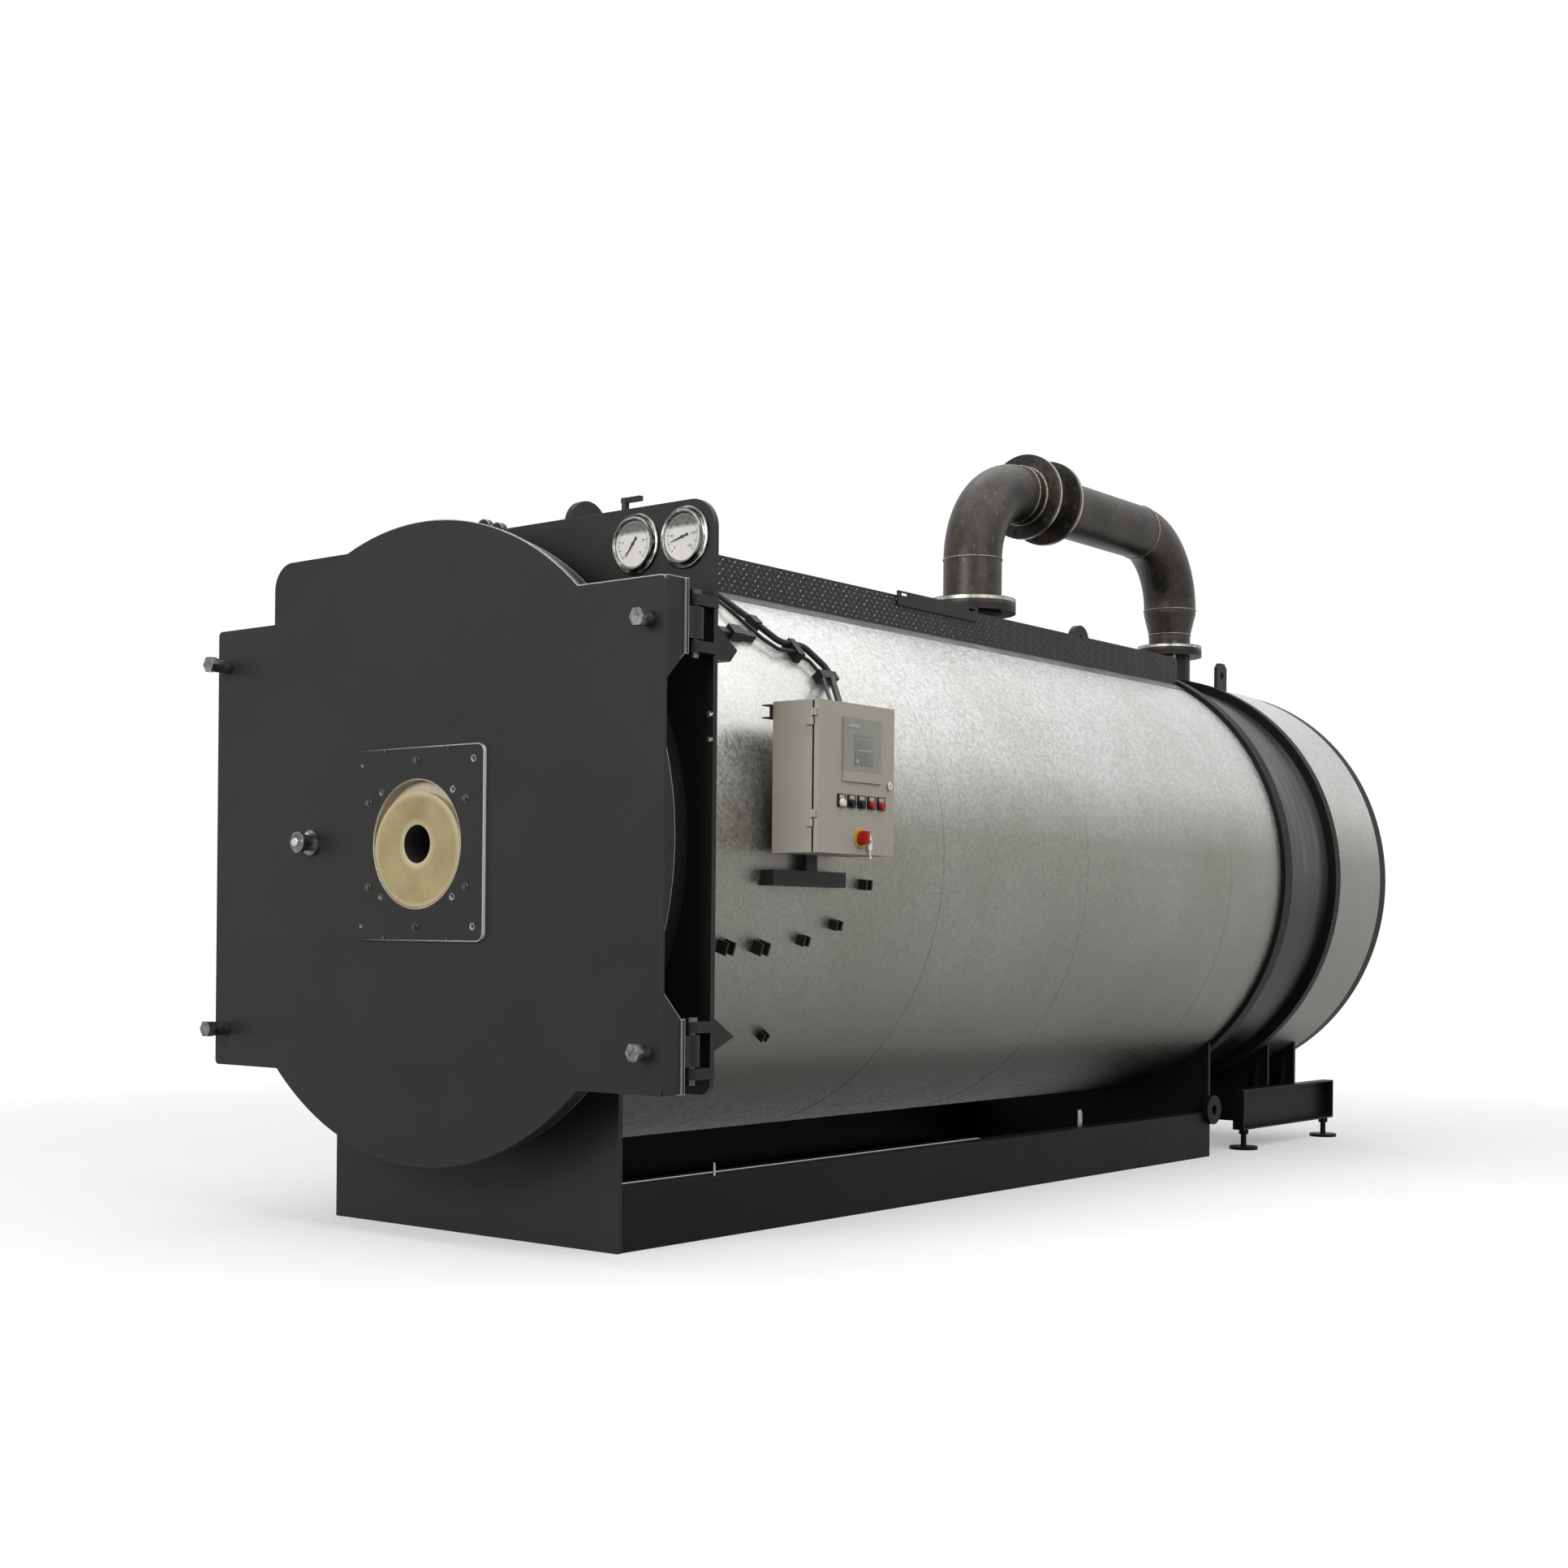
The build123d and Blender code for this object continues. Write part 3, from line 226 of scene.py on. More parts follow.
def paint(name, dark, light, rough, edge=0.0, grain=420.0, grain_depth=0.0004, gloss=0.5,
          shine=None):
    mat, tree, bsdf, vec = start(name)
    colour = ramp(tree, noise(tree, vec, 2.3, 6.0, 0.65), patchy(dark, light))
    # Painted edge highlight: every edge turns a little paler
    if edge:
        mask, _ = edge_mask(tree, edge)
        wear_and_edge_highlight = tuple(min(1.0, c * 2.0 + 0.008) for c in light)
        colour = mix(tree, mask, colour, wear_and_edge_highlight)
    # Painted highlight: pale edges, stronger towards +X; for "upper" only on upward edges and the
    # rim's lip, otherwise on all edges and over whole faces that turn towards +X
    if shine:
        highlight_from, highlight_to, where = shine
        place = axes(tree, vec)
        mask, normal = edge_mask(tree, 0.0065, 0.90, 0.985)
        across = span(tree, place["X"], 0.0, 1.0, highlight_from, highlight_to)
        painted_highlight = combine(tree, "MULTIPLY", mask, across)
        if where == "upper":
            upward = span(tree, axes(tree, normal)["Z"], 0.0, 1.0, 0.15, 0.45)
            lip = span(tree, place["Y"], 0.0, 0.6, *RIM_LIP_Y)
            painted_highlight = combine(tree, "MULTIPLY", painted_highlight, combine(tree, "MAXIMUM", upward, lip))
        else:
            facing = tree.nodes.new("ShaderNodeTexCoord").outputs["Normal"]
            flank = span(tree, axes(tree, facing)["X"], 0.0, 1.0, 0.55, 0.85)
            painted_highlight = combine(tree, "MAXIMUM", painted_highlight, flank)
        colour = mix(tree, painted_highlight, colour, (0.92, 0.91, 0.87))
    tree.links.new(colour, bsdf.inputs["Base Color"])
    bsdf.inputs["Specular IOR Level"].default_value = gloss
    roughness = span(tree, noise(tree, vec, 9.0), rough - 0.07, rough + 0.07)
    tree.links.new(roughness, bsdf.inputs["Roughness"])
    normal = bump(tree, noise(tree, vec, grain, 2.0), 0.12, grain_depth)
    tree.links.new(normal, bsdf.inputs["Normal"])
    return mat


def metal(name, stops, scale, rough, metallic=1.0, grain=0.0, streak=(1, 1, 1)):
    mat, tree, bsdf, vec = start(name)
    along = stretch(tree, vec, streak)
    fac = noise(tree, along, scale, 7.0, 0.62)
    tree.links.new(ramp(tree, fac, stops), bsdf.inputs["Base Color"])
    tree.links.new(span(tree, fac, rough - 0.12, rough + 0.12), bsdf.inputs["Roughness"])
    bsdf.inputs["Metallic"].default_value = metallic
    if grain:
        normal = bump(tree, noise(tree, along, 160.0, 3.0), 0.25, grain)
        tree.links.new(normal, bsdf.inputs["Normal"])
    return mat


def galvanised(name):
    mat, tree, bsdf, vec = start(name)
    spangle = cells(tree, vec, 95.0)
    cloud = noise(tree, vec, 1.7, 6.0, 0.6)
    base = ramp(tree, spangle, [(0.0, (0.52, 0.52, 0.51)), (1.0, (0.68, 0.68, 0.67))])
    haze = ramp(tree, cloud, [(0.35, (0.86, 0.86, 0.83)), (0.65, grey(1.0))])
    # Painted shade: the cladding's colour falls from nearly full at the top to near black at the
    # bottom
    level = span(tree, axes(tree, vec)["Z"], 0.0, 1.0, *CLAD_SHADE_Z)
    painted_shade_by_height = ramp(tree, level, [
        (0.06, grey(0.02)), (0.18, (0.30, 0.30, 0.27)), (0.54, (0.44, 0.43, 0.39)),
        (0.68, (0.88, 0.88, 0.87)), (0.92, (0.96, 0.96, 0.97)),
    ])
    colour = mix(tree, 1.0, mix(tree, 1.0, base, haze, "MULTIPLY"), painted_shade_by_height, "MULTIPLY")
    tree.links.new(colour, bsdf.inputs["Base Color"])
    tree.links.new(span(tree, spangle, 0.34, 0.48), bsdf.inputs["Roughness"])
    bsdf.inputs["Metallic"].default_value = 0.80
    height = noise(tree, stretch(tree, vec, (1.0, 1.6, 1.0)), 130.0, 3.0)
    tree.links.new(bump(tree, height, 0.30, 0.0007), bsdf.inputs["Normal"])
    return mat


def mill(name):
    mat, tree, bsdf, vec = start(name)
    patch = noise(tree, vec, 3.2, 7.0, 0.62)
    fleck = noise(tree, vec, 26.0, 6.0, 0.7)
    colour = ramp(tree, patch, [
        (0.30, (0.009, 0.009, 0.0075)), (0.44, (0.020, 0.0185, 0.0145)),
        (0.53, (0.046, 0.035, 0.024)), (0.62, (0.026, 0.0245, 0.0195)),
        (0.78, (0.078, 0.068, 0.052)),
    ])
    specks = ramp(tree, fleck, [(0.36, grey(0.5)), (0.60, grey(1.0))])
    colour = mix(tree, 1.0, colour, specks, "MULTIPLY")
    scratch = noise(tree, stretch(tree, vec, (1, 1, 0.4)), 44.0, 5.0, 0.6)
    scuff = span(tree, scratch, 0.0, 0.8, 0.63, 0.72)
    tree.links.new(mix(tree, scuff, colour, (0.17, 0.15, 0.115)), bsdf.inputs["Base Color"])
    tree.links.new(span(tree, fleck, 0.28, 0.50), bsdf.inputs["Roughness"])
    bsdf.inputs["Metallic"].default_value = 0.25
    bsdf.inputs["Specular IOR Level"].default_value = 0.35
    tree.links.new(bump(tree, fleck, 0.25, 0.0008), bsdf.inputs["Normal"])
    return mat


def band(name):
    mat, tree, bsdf, vec = start(name)
    brushed = noise(tree, stretch(tree, vec, (0.5, 5.0, 0.35)), 3.4, 7.0, 0.55)
    colour = ramp(tree, brushed, [
        (0.30, grey(0.030)), (0.48, (0.062, 0.062, 0.058)), (0.62, (0.105, 0.104, 0.097)),
        (0.78, (0.18, 0.178, 0.165)),
    ])
    height = span(tree, axes(tree, vec)["Z"], 0.0, 1.0, *BAND_SHADE_Z)
    shade = ramp(tree, height, [
        (0.30, grey(0.10)), (0.44, grey(0.30)), (0.56, grey(0.95)), (0.80, grey(1.0)),
        (0.93, grey(0.5)),
    ])
    tree.links.new(mix(tree, 1.0, colour, shade, "MULTIPLY"), bsdf.inputs["Base Color"])
    tree.links.new(span(tree, brushed, 0.26, 0.44), bsdf.inputs["Roughness"])
    bsdf.inputs["Metallic"].default_value = 0.25
    bsdf.inputs["Specular IOR Level"].default_value = 0.2
    return mat


def studs(name):
    mat, tree, bsdf, vec = start(name)
    wear_and_edge_highlight = ramp(tree, noise(tree, vec, 40.0, 7.0, 0.62), WORN_STEEL)
    # The side studs turn from worn steel at the front to dark, non-metallic paint further back
    # along Y
    darker_back = span(tree, axes(tree, vec)["Y"], 0.0, 0.92, *STUD_DARKENING_Y)
    tree.links.new(mix(tree, darker_back, wear_and_edge_highlight, grey(0.012)), bsdf.inputs["Base Color"])
    tree.links.new(span(tree, darker_back, 0.30, 0.46), bsdf.inputs["Roughness"])
    tree.links.new(span(tree, darker_back, 0.9, 0.0), bsdf.inputs["Metallic"])
    bsdf.inputs["Specular IOR Level"].default_value = 0.2
    return mat


def plastic(name, colour, rough=0.35, vary=0.12, gloss=0.5):
    dark = tuple(c * (1 - vary) for c in colour)
    return paint(name, dark, colour, rough, grain=900.0, grain_depth=0.0001, gloss=gloss)


def display(name):
    mat, tree, bsdf, vec = start(name)
    tones = patchy((0.265, 0.262, 0.225), (0.295, 0.290, 0.250))
    tone = ramp(tree, noise(tree, vec, 8.0, 4.0), tones)
    foot = span(tree, axes(tree, vec)["Z"], 1.0, 0.0, *DISPLAY_FOOT_Z)
    tree.links.new(mix(tree, foot, tone, (0.376, 0.354, 0.302)), bsdf.inputs["Base Color"])
    tree.links.new(span(tree, foot, 0.30, 0.48), bsdf.inputs["Roughness"])
    return mat


def dial(name):
    mat, tree, bsdf, vec = start(name)
    tones = patchy((0.60, 0.58, 0.56), (0.68, 0.66, 0.645))
    tone = ramp(tree, noise(tree, vec, 12.0, 4.0), tones)
    shade = span(tree, axes(tree, vec)["Z"], 0.0, 1.0, *DIAL_SHADE_Z)
    tree.links.new(mix(tree, shade, tone, (0.135, 0.135, 0.125)), bsdf.inputs["Base Color"])
    tree.links.new(span(tree, shade, 0.32, 0.16), bsdf.inputs["Roughness"])
    return mat


def plug(name):
    mat, tree, bsdf, vec = start(name)
    grain = noise(tree, vec, 7.0, 7.0, 0.62)
    face = ramp(tree, grain, [
        (0.3, (0.27, 0.215, 0.10)), (0.55, (0.355, 0.29, 0.145)), (0.8, (0.43, 0.36, 0.195)),
    ])
    # The wall beside the face is paler than the face: painted light on the shaded wall of the
    # recess
    wall = ramp(tree, grain, patchy((0.40, 0.345, 0.26), (0.52, 0.455, 0.36)))
    ring = away(tree, stretch(tree, vec, (PLUG_HIGH / PLUG_WIDE, 1, 1)), 0.0, AXIS_Z - PLUG_DROP)
    outer = span(tree, ring, 0.0, 0.8, 0.176, PLUG_HIGH)
    inner = span(tree, away(tree, vec, 0.0, AXIS_Z), 0.8, 0.0, BORE_R, 0.092)
    face = mix(tree, combine(tree, "MAXIMUM", outer, inner), face, (0.58, 0.49, 0.30))
    beside = span(tree, ring, 0.0, 1.0, PLUG_HIGH + 0.0004, PLUG_HIGH + 0.0014)
    tree.links.new(mix(tree, beside, face, wall), bsdf.inputs["Base Color"])
    bsdf.inputs["Roughness"].default_value = 0.86
    tree.links.new(bump(tree, noise(tree, vec, 160.0, 3.0), 0.25, 0.0015), bsdf.inputs["Normal"])
    return mat


M = {
    "anthracite_paint": paint("anthracite", *ANTHRACITE, 0.46, 0.005, gloss=0.2),
    "door_paint": paint(
        "door_anthracite", *ANTHRACITE, 0.46, 0.004, gloss=0.2, shine=(-0.25, 0.35, "upper"),
    ),
    # The frame's black is the anthracite made darker: partly its own darker paint, partly painted
    # shade on these side-facing and low-lying parts
    "frame_paint": paint(
        "frame_black", grey(0.007), (0.012, 0.012, 0.0115), 0.45, 0.004, gloss=0.08,
    ),
    "tread_plate": paint(
        "tread_black", grey(0.010), (0.018, 0.018, 0.017), 0.42, 0.003, gloss=0.2,
    ),
    "galvanised_sheet": galvanised("galvanised_cladding"),
    "grey_band": band("band_black"),
    "plain_steel": metal(
        "plain_steel", patchy((0.035, 0.035, 0.034), (0.13, 0.13, 0.125)), 30.0, 0.28, 0.85,
    ),
    "burner_steel": paint(
        "burner_plate_dark", (0.011, 0.011, 0.0105), (0.017, 0.017, 0.016), 0.40, 0.004,
        gloss=0.2, shine=(-0.30, 0.20, "flank"),
    ),
    "refractory": metal(
        "refractory_buff",
        [(0.3, (0.30, 0.235, 0.11)), (0.55, (0.40, 0.325, 0.155)), (0.8, (0.47, 0.39, 0.20))],
        6.0, 0.85, 0.0, 0.0015,
    ),
    "mill_steel": mill("mill_steel_scale"),
    "bright_metal": metal(
        "bright_steel", patchy((0.42, 0.42, 0.41), (0.70, 0.70, 0.68)), 26.0, 0.22, 1.0, 0.0002,
    ),
    "cabinet_paint": paint(
        "cabinet_beige", (0.36, 0.338, 0.288), (0.40, 0.376, 0.322), 0.48,
        grain=700.0, grain_depth=0.0003,
    ),
    "display_plastic": display("display_grey"),
    "button_plastic": plastic("button_black", grey(0.008), 0.32, 0.3, 0.15),
    "yellow_plastic": plastic("switch_yellow", (0.62, 0.37, 0.03), 0.40),
    "red_plastic": plastic("switch_red", (0.42, 0.022, 0.012), 0.36, gloss=0.2),
    "black_rubber": paint(
        "black_rubber", grey(0.008), grey(0.015), 0.5, grain=300.0, gloss=0.25,
    ),
    "white_plastic": plastic("cap_white", (0.78, 0.78, 0.76), 0.30, 0.05),
    "dial_white": dial("dial_face"),
    "label_grey": plastic("label_grey", (0.40, 0.40, 0.38), 0.40, 0.1),
    "gauge_chrome": metal(
        "gauge_chrome",
        [(0.30, (0.06, 0.06, 0.055)), (0.52, (0.20, 0.20, 0.185)), (0.74, (0.66, 0.65, 0.60))],
        24.0, 0.18, 1.0, 0.0, (1.0, 3.0, 1.0),
    ),
    "plug_buff": plug("plug_buff"),
    "tube_plate_steel": metal(
        "tube_plate_steel", patchy((0.040, 0.038, 0.036), (0.085, 0.082, 0.078)),
        3.0, 0.55, 0.3, 0.0006,
    ),
    "ink": plastic("dial_ink", (0.012, 0.012, 0.014), 0.5, 0.3),
    "screen": plastic("screen_green", (0.20, 0.20, 0.17), 0.25, 0.15),
    # Black for holes: painted shade in the bolt holes and the smoke tube mouths, and the bore's
    # black lining
    "hole_dark": paint(
        "hole_dark_paint", grey(0.004), (0.010, 0.009, 0.009), 0.85, grain=90.0, grain_depth=0.001,
    ),
    "walkway_stud": studs("walkway_stud"),
    "lip_steel": metal(
        "lip_steel", patchy((0.13, 0.13, 0.125), (0.24, 0.24, 0.23)), 5.0, 0.42, 0.6,
    ),
    "stud_steel": metal("worn_stud_steel", WORN_STEEL, 40.0, 0.30, 0.9),
    "weld": metal(
        "weld_bead", patchy((0.10, 0.085, 0.07), (0.34, 0.30, 0.26)), 60.0, 0.42, 0.8, 0.0006,
    ),
    "machined": metal(
        "machined_rim", patchy((0.20, 0.185, 0.165), (0.52, 0.49, 0.45)), 30.0, 0.34, 0.9,
    ),
    "blue_plastic": plastic("terminal_blue", (0.05, 0.12, 0.30), 0.4),
}
# Materials of CAD nodes that differ from their slot's own
SKINS = {
    "door_sheet": "door_paint", "door_rim": "door_paint", "burner_plug": "plug_buff",
    "module_flange": "galvanised_sheet", "door_clamp_bolts": "stud_steel",
    "sight_glass": "stud_steel", "front_tube_plate": "tube_plate_steel",
    "smoke_tube_ends": "machined", "walkway_lips": "lip_steel",
}
# The frame parts take the darker frame paint, partly painted shade
for name in (
    "base_beams", "rear_saddle", "module_beams", "module_rests", "levelling_feet", "lashing_eyes",
    "rear_ring", "module_ring", "module_cover",
):
    SKINS[name] = "frame_paint"
for entry in frame["record"]["subparts"]:
    data = nodes[entry["node"]].data
    data.materials.clear()
    skin = SKINS.get(entry["node"], entry["material_slot"])
    data.materials.append(M[skin])


# Mesh helpers
def basis(axis):
    w = axis.normalized()
    u = w.orthogonal().normalized() if abs(w.z) > 0.99 else w.cross(Z).normalized()
    return u, w.cross(u), w


def lathe(bm, base, axis, profile, seg, closed=False, turn=0.0):
    u, v, w = basis(axis)
    rings = []
    for radius, height in profile:
        centre = base + w * height
        if radius < 1e-7:
            rings.append([bm.verts.new(centre)])
            continue
        ring = []
        for i in range(seg):
            a = turn + 2 * math.pi * i / seg
            ring.append(bm.verts.new(centre + (u * math.cos(a) + v * math.sin(a)) * radius))
        rings.append(ring)
    pairs = list(zip(rings, rings[1:]))
    if closed:
        pairs.append((rings[-1], rings[0]))
    for low, high in pairs:
        for i in range(seg):
            j = (i + 1) % seg
            quad = [
                low[i % len(low)], low[j % len(low)], high[j % len(high)], high[i % len(high)],
            ]
            unique = []
            for vert in quad:
                if vert not in unique:
                    unique.append(vert)
            if len(unique) > 2:
                bm.faces.new(unique)


def hex_bolt(bm, base, axis, across, height, washer=0.0, turn=0.0):
    top = 0.0
    if washer:
        wide = across * 1.28
        lathe(bm, base, axis, [
            (0, 0), (wide, 0), (wide, washer * 0.8), (across * 1.2, washer), (0, washer),
        ], 20)
        top = washer
    lathe(bm, base, axis, [
        (0, top), (across, top), (across, top + height * 0.82), (across * 0.86, top + height),
        (0, top + height),
    ], 6, turn=turn)


def torus(bm, base, axis, big, small, seg=64, sides=8, wobble=0.0):
    u, v, w = basis(axis)
    rings = []
    for i in range(seg):
        a = 2 * math.pi * i / seg
        d = u * math.cos(a) + v * math.sin(a)
        r = small * (1 + wobble * math.sin(i * 2.7))
        ring = []
        for k in range(sides):
            b = 2 * math.pi * k / sides
            ring.append(bm.verts.new(base + d * (big + r * math.cos(b)) + w * r * math.sin(b)))
        rings.append(ring)
    for i in range(seg):
        for k in range(sides):
            m = (k + 1) % sides
            n = (i + 1) % seg
            bm.faces.new([rings[i][k], rings[n][k], rings[n][m], rings[i][m]])


def slab(bm, low, high, chamfer=0.0):
    ret = bmesh.ops.create_cube(bm, size=1.0)
    size = Vector(high) - Vector(low)
    mid = (Vector(high) + Vector(low)) / 2
    for vert in ret["verts"]:
        vert.co = Vector((vert.co.x * size.x, vert.co.y * size.y, vert.co.z * size.z)) + mid
    if chamfer:
        edges = {e for vert in ret["verts"] for e in vert.link_edges}
        bmesh.ops.bevel(
            bm, geom=list(edges), offset=chamfer, segments=2, affect="EDGES", profile=0.6,
        )


def rim(bm, base, axis, radius, width):
    inner, proud = radius - 0.004, radius + 0.0002
    lathe(bm, base, axis, [
        (inner, 0.0), (proud, 0.001), (proud, width - 0.002), (inner, width + 0.0002),
    ], 96, closed=True)


def prism(bm, near, far):
    for i in range(len(near)):
        j = (i + 1) % len(near)
        bm.faces.new([near[i], near[j], far[j], far[i]])


def stud(bm, pos, normal, along, length, width, height):
    side = normal.cross(along)
    half = along * (length / 2)
    low = [pos - half, pos + side * (width / 2), pos + half, pos - side * (width / 2)]
    top = [pos + (p - pos) * 0.55 + normal * height for p in low]
    a = [bm.verts.new(p) for p in low]
    b = [bm.verts.new(p) for p in top]
    bm.faces.new(b)
    prism(bm, a, b)


def piece(name, bm, material, body, smooth):
    bmesh.ops.recalc_face_normals(bm, faces=bm.faces[:])
    mesh = bpy.data.meshes.new(name)
    bm.to_mesh(mesh)
    bm.free()
    obj = bpy.data.objects.new(name, mesh)
    bpy.context.scene.collection.objects.link(obj)
    mesh.materials.append(M[material])
    if smooth:
        mesh.polygons.foreach_set("use_smooth", [True] * len(mesh.polygons))
        mesh.set_sharp_from_angle(angle=math.radians(smooth))
    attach(obj, body)
    return obj


def numeral(text, size, pos):
    """Mesh of a number that faces the front."""
    curve = bpy.data.curves.new("mark_curve", "FONT")
    curve.body = text
    curve.size = size
    curve.align_x = "CENTER"
    curve.align_y = "CENTER"
    curve.extrude = 0.0003
    curve.resolution_u = 2
    temp = bpy.data.objects.new("mark_temp", curve)
    bpy.context.scene.collection.objects.link(temp)
    bpy.context.view_layer.update()
    shown = temp.evaluated_get(bpy.context.evaluated_depsgraph_get())
    mesh = bpy.data.meshes.new_from_object(shown)
    bpy.data.objects.remove(temp)
    turn = Matrix((X, Z, -Y)).transposed().to_4x4()
    mesh.transform(Matrix.Translation(pos) @ turn)
    return mesh


# Tread pattern of the walkway: raised studs on both folded sides and on the top
low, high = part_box("walkway")
half_wide, stud_high = 0.5, 0.0016
row_pitch, stud_pitch = 0.0175, 0.034
in_row = int((high.y - low.y - 0.03) / stud_pitch)
bm = bmesh.new()
for side in (-1, 1):
    for r in range(8):
        z = high.z - 0.014 - r * row_pitch
        if z < low.z + 0.006:
            continue
        for c in range(in_row):
            y = low.y + 0.02 + c * stud_pitch + (stud_pitch / 2 if r % 2 else 0.0)
            lean = Vector((0, 0.8, 0.6 if (r + c) % 2 else -0.6)).normalized()
            stud(bm, Vector((side * half_wide, y, z)), X * side, lean, 0.018, 0.0062, stud_high)
piece("walkway_side_studs", bm, "walkway_stud", "boiler_body", 0)

top_pitch_x, top_pitch_y = 0.0256, 0.05
riser_gap, lug_half, lugs = 0.21, 0.04, ((0.547, 0.13), (4.098, 0.11))
bm = bmesh.new()
for c in range(int((high.y - low.y - 0.06) / top_pitch_y)):
    y = low.y + 0.04 + c * top_pitch_y
    for r in range(38):
        x = -0.475 + r * top_pitch_x
        at_riser = math.hypot(x, y - RISER_Y) < riser_gap
        at_lug = abs(x) < lug_half and any(abs(y - lug_y) < reach for lug_y, reach in lugs)
        if at_riser or at_lug:
            continue
        lean = Vector((0.7 if (r + c) % 2 else -0.7, 0.7, 0)).normalized()
        stud(bm, Vector((x, y, high.z)), Z, lean, 0.021, 0.0068, stud_high)
piece("walkway_top_studs", bm, "stud_steel", "boiler_body", 0)

# Weld beads of the pipe loop: butt welds of the pipes, then fillets at the flanges
pipe_r, reduced_r = 0.1372, 0.1102
bm = bmesh.new()
for y, z, axis, radius in (
    (RISER_Y, 2.810, Z, pipe_r), (3.505, PIPE_Z, Y, pipe_r), (4.680, PIPE_Z, Y, pipe_r),
    (RETURN_Y, 2.810, Z, pipe_r), (RETURN_Y, 2.680, Z, reduced_r),
):
    torus(bm, Vector((0, y, z)), axis, radius, 0.0034, 96, 8, 0.25)
for y, z, axis, radius, bead in (
    (RISER_Y, 2.624, Z, 0.1375, 0.007), (RETURN_Y, 2.620, Z, 0.1105, 0.006),
    (3.565, PIPE_Z, Y, 0.1375, 0.007), (3.800, PIPE_Z, Y, 0.1375, 0.007),
):
    torus(bm, Vector((0, y, z)), axis, radius, bead, 96, 8, 0.15)
piece("pipe_weld_beads", bm, "weld", "boiler_body", 60)

# Machined rims of the flanges, kept just under the top of the CAD box
bm = bmesh.new()
for y, z, axis, radius, width in (
    (3.584, PIPE_Z, Y, 0.2025, 0.016), (3.781, PIPE_Z, Y, 0.2025, 0.016),
    (RISER_Y, 2.604, Z, 0.2025, 0.018), (RETURN_Y, 2.602, Z, 0.170, 0.016),
):
    rim(bm, Vector((0, y, z)), axis, radius, width)
for vert in bm.verts:
    vert.co.z = min(vert.co.z, cad_box[1][2] - 0.00005)
piece("flange_rims", bm, "machined", "boiler_body", 50)

# Bolt holes of the two free flanges, and the one bolt that hangs in the return flange
flange_faces = ((3.568, -1), (3.600, 1), (3.765, -1), (3.797, 1))
hole_count, hole_ring = 12, 0.1775
bm = bmesh.new()
# Each hole is a dark disc on a flange face: painted shade of the open hole
for i in range(hole_count):
    a = 2 * math.pi * (i + 0.5) / hole_count
    offset = Vector((math.cos(a), 0, math.sin(a))) * hole_ring
    for y, way in flange_faces:
        lathe(bm, Vector((0, y, PIPE_Z)) + offset, Y * way, [
            (0, 0.0004), (0.0125, 0.0004), (0.0135, 0.0),
        ], 18)
piece("flange_bolt_holes", bm, "hole_dark", "boiler_body", 30)
bolt_ring, bolt_turn = 0.1475, -0.9
bm = bmesh.new()
hang = Vector((
    bolt_ring * math.cos(bolt_turn), RETURN_Y + bolt_ring * math.sin(bolt_turn), 0,
))
hex_bolt(bm, hang + Z * 2.618, Z, 0.015, 0.012, 0.003, 0.4)
lathe(bm, hang + Z * 2.562, -Z, [
    (0.0, 0.0), (0.0095, 0.0), (0.0095, 0.060), (0.008, 0.062), (0, 0.062),
], 18)
piece("flange_bolts", bm, "plain_steel", "boiler_body", 30)

# Bolts round the cover of the module
cover_y, cover_ring, cover_bolts = 5.464, 1.012, 40
bm = bmesh.new()
for i in range(cover_bolts):
    a = 2 * math.pi * (i + 0.5) / cover_bolts
    ray = Vector((math.cos(a), 0, math.sin(a))) * cover_ring
    hex_bolt(bm, Vector((0, cover_y, AXIS_Z)) + ray, Y, 0.019, 0.016, 0.003, i)
piece("module_cover_bolts", bm, "plain_steel", "boiler_body", 30)

# Seam straps of the boiler's cladding
sunk_r, proud_r = CLAD_R - 0.002, CLAD_R + 0.0007
bm = bmesh.new()
for y in (1.372, 2.417, 3.693):
    lathe(bm, Vector((0, y - 0.012, AXIS_Z)), Y, [
        (sunk_r, 0.0), (proud_r, 0.0006), (proud_r, 0.0234), (sunk_r, 0.024),
    ], 256, closed=True)
piece("cladding_seams", bm, "galvanised_sheet", "boiler_body", 30)

# Two small bright tabs on the right beam's upper flange
beam_top = 0.2152
bm = bmesh.new()
for x, y, wide, tall in ((0.698, 0.496, 0.010, 0.046), (0.640, 3.075, 0.034, 0.072)):
    half = wide / 2
    outline = [(-half, 0.0), (half, 0.0), (half, tall * 0.8), (wide / 4, tall), (-half, tall)]
    near, far = (
        [bm.verts.new((x + dx, y + dy, beam_top + dz)) for dy, dz in outline]
        for dx in (0.0, -0.004)
    )
    bm.faces.new(near)
    bm.faces.new(far)
    prism(bm, near, far)
piece("beam_tabs", bm, "machined", "boiler_body", 30)

# Screws of the burner plate and front plate
plate_y = -0.268
large = [(0, 0.285), (0, -0.285)] + [(dx, dz) for dx in (-0.245, 0.245) for dz in (0.147, -0.147)]
small = [(dx, dz) for dx in (-0.16, 0.16) for dz in (0.322, -0.322)]
bm = bmesh.new()
for dx, dz in large:
    hex_bolt(bm, Vector((dx, plate_y, AXIS_Z + dz)), -Y, 0.011, 0.008, 0.002, 0.3)
for dx, dz in small:
    hex_bolt(bm, Vector((dx, plate_y, AXIS_Z + dz)), -Y, 0.006, 0.004, 0.0, 0.3)
piece("burner_plate_screws", bm, "plain_steel", "door_body", 30)
bm = bmesh.new()
for z in (1.756, 1.676):
    hex_bolt(bm, Vector((1.092, -0.010, z)), -Y, 0.009, 0.008, 0.002, 0.4)
piece("front_plate_screws", bm, "bright_metal", "boiler_body", 30)
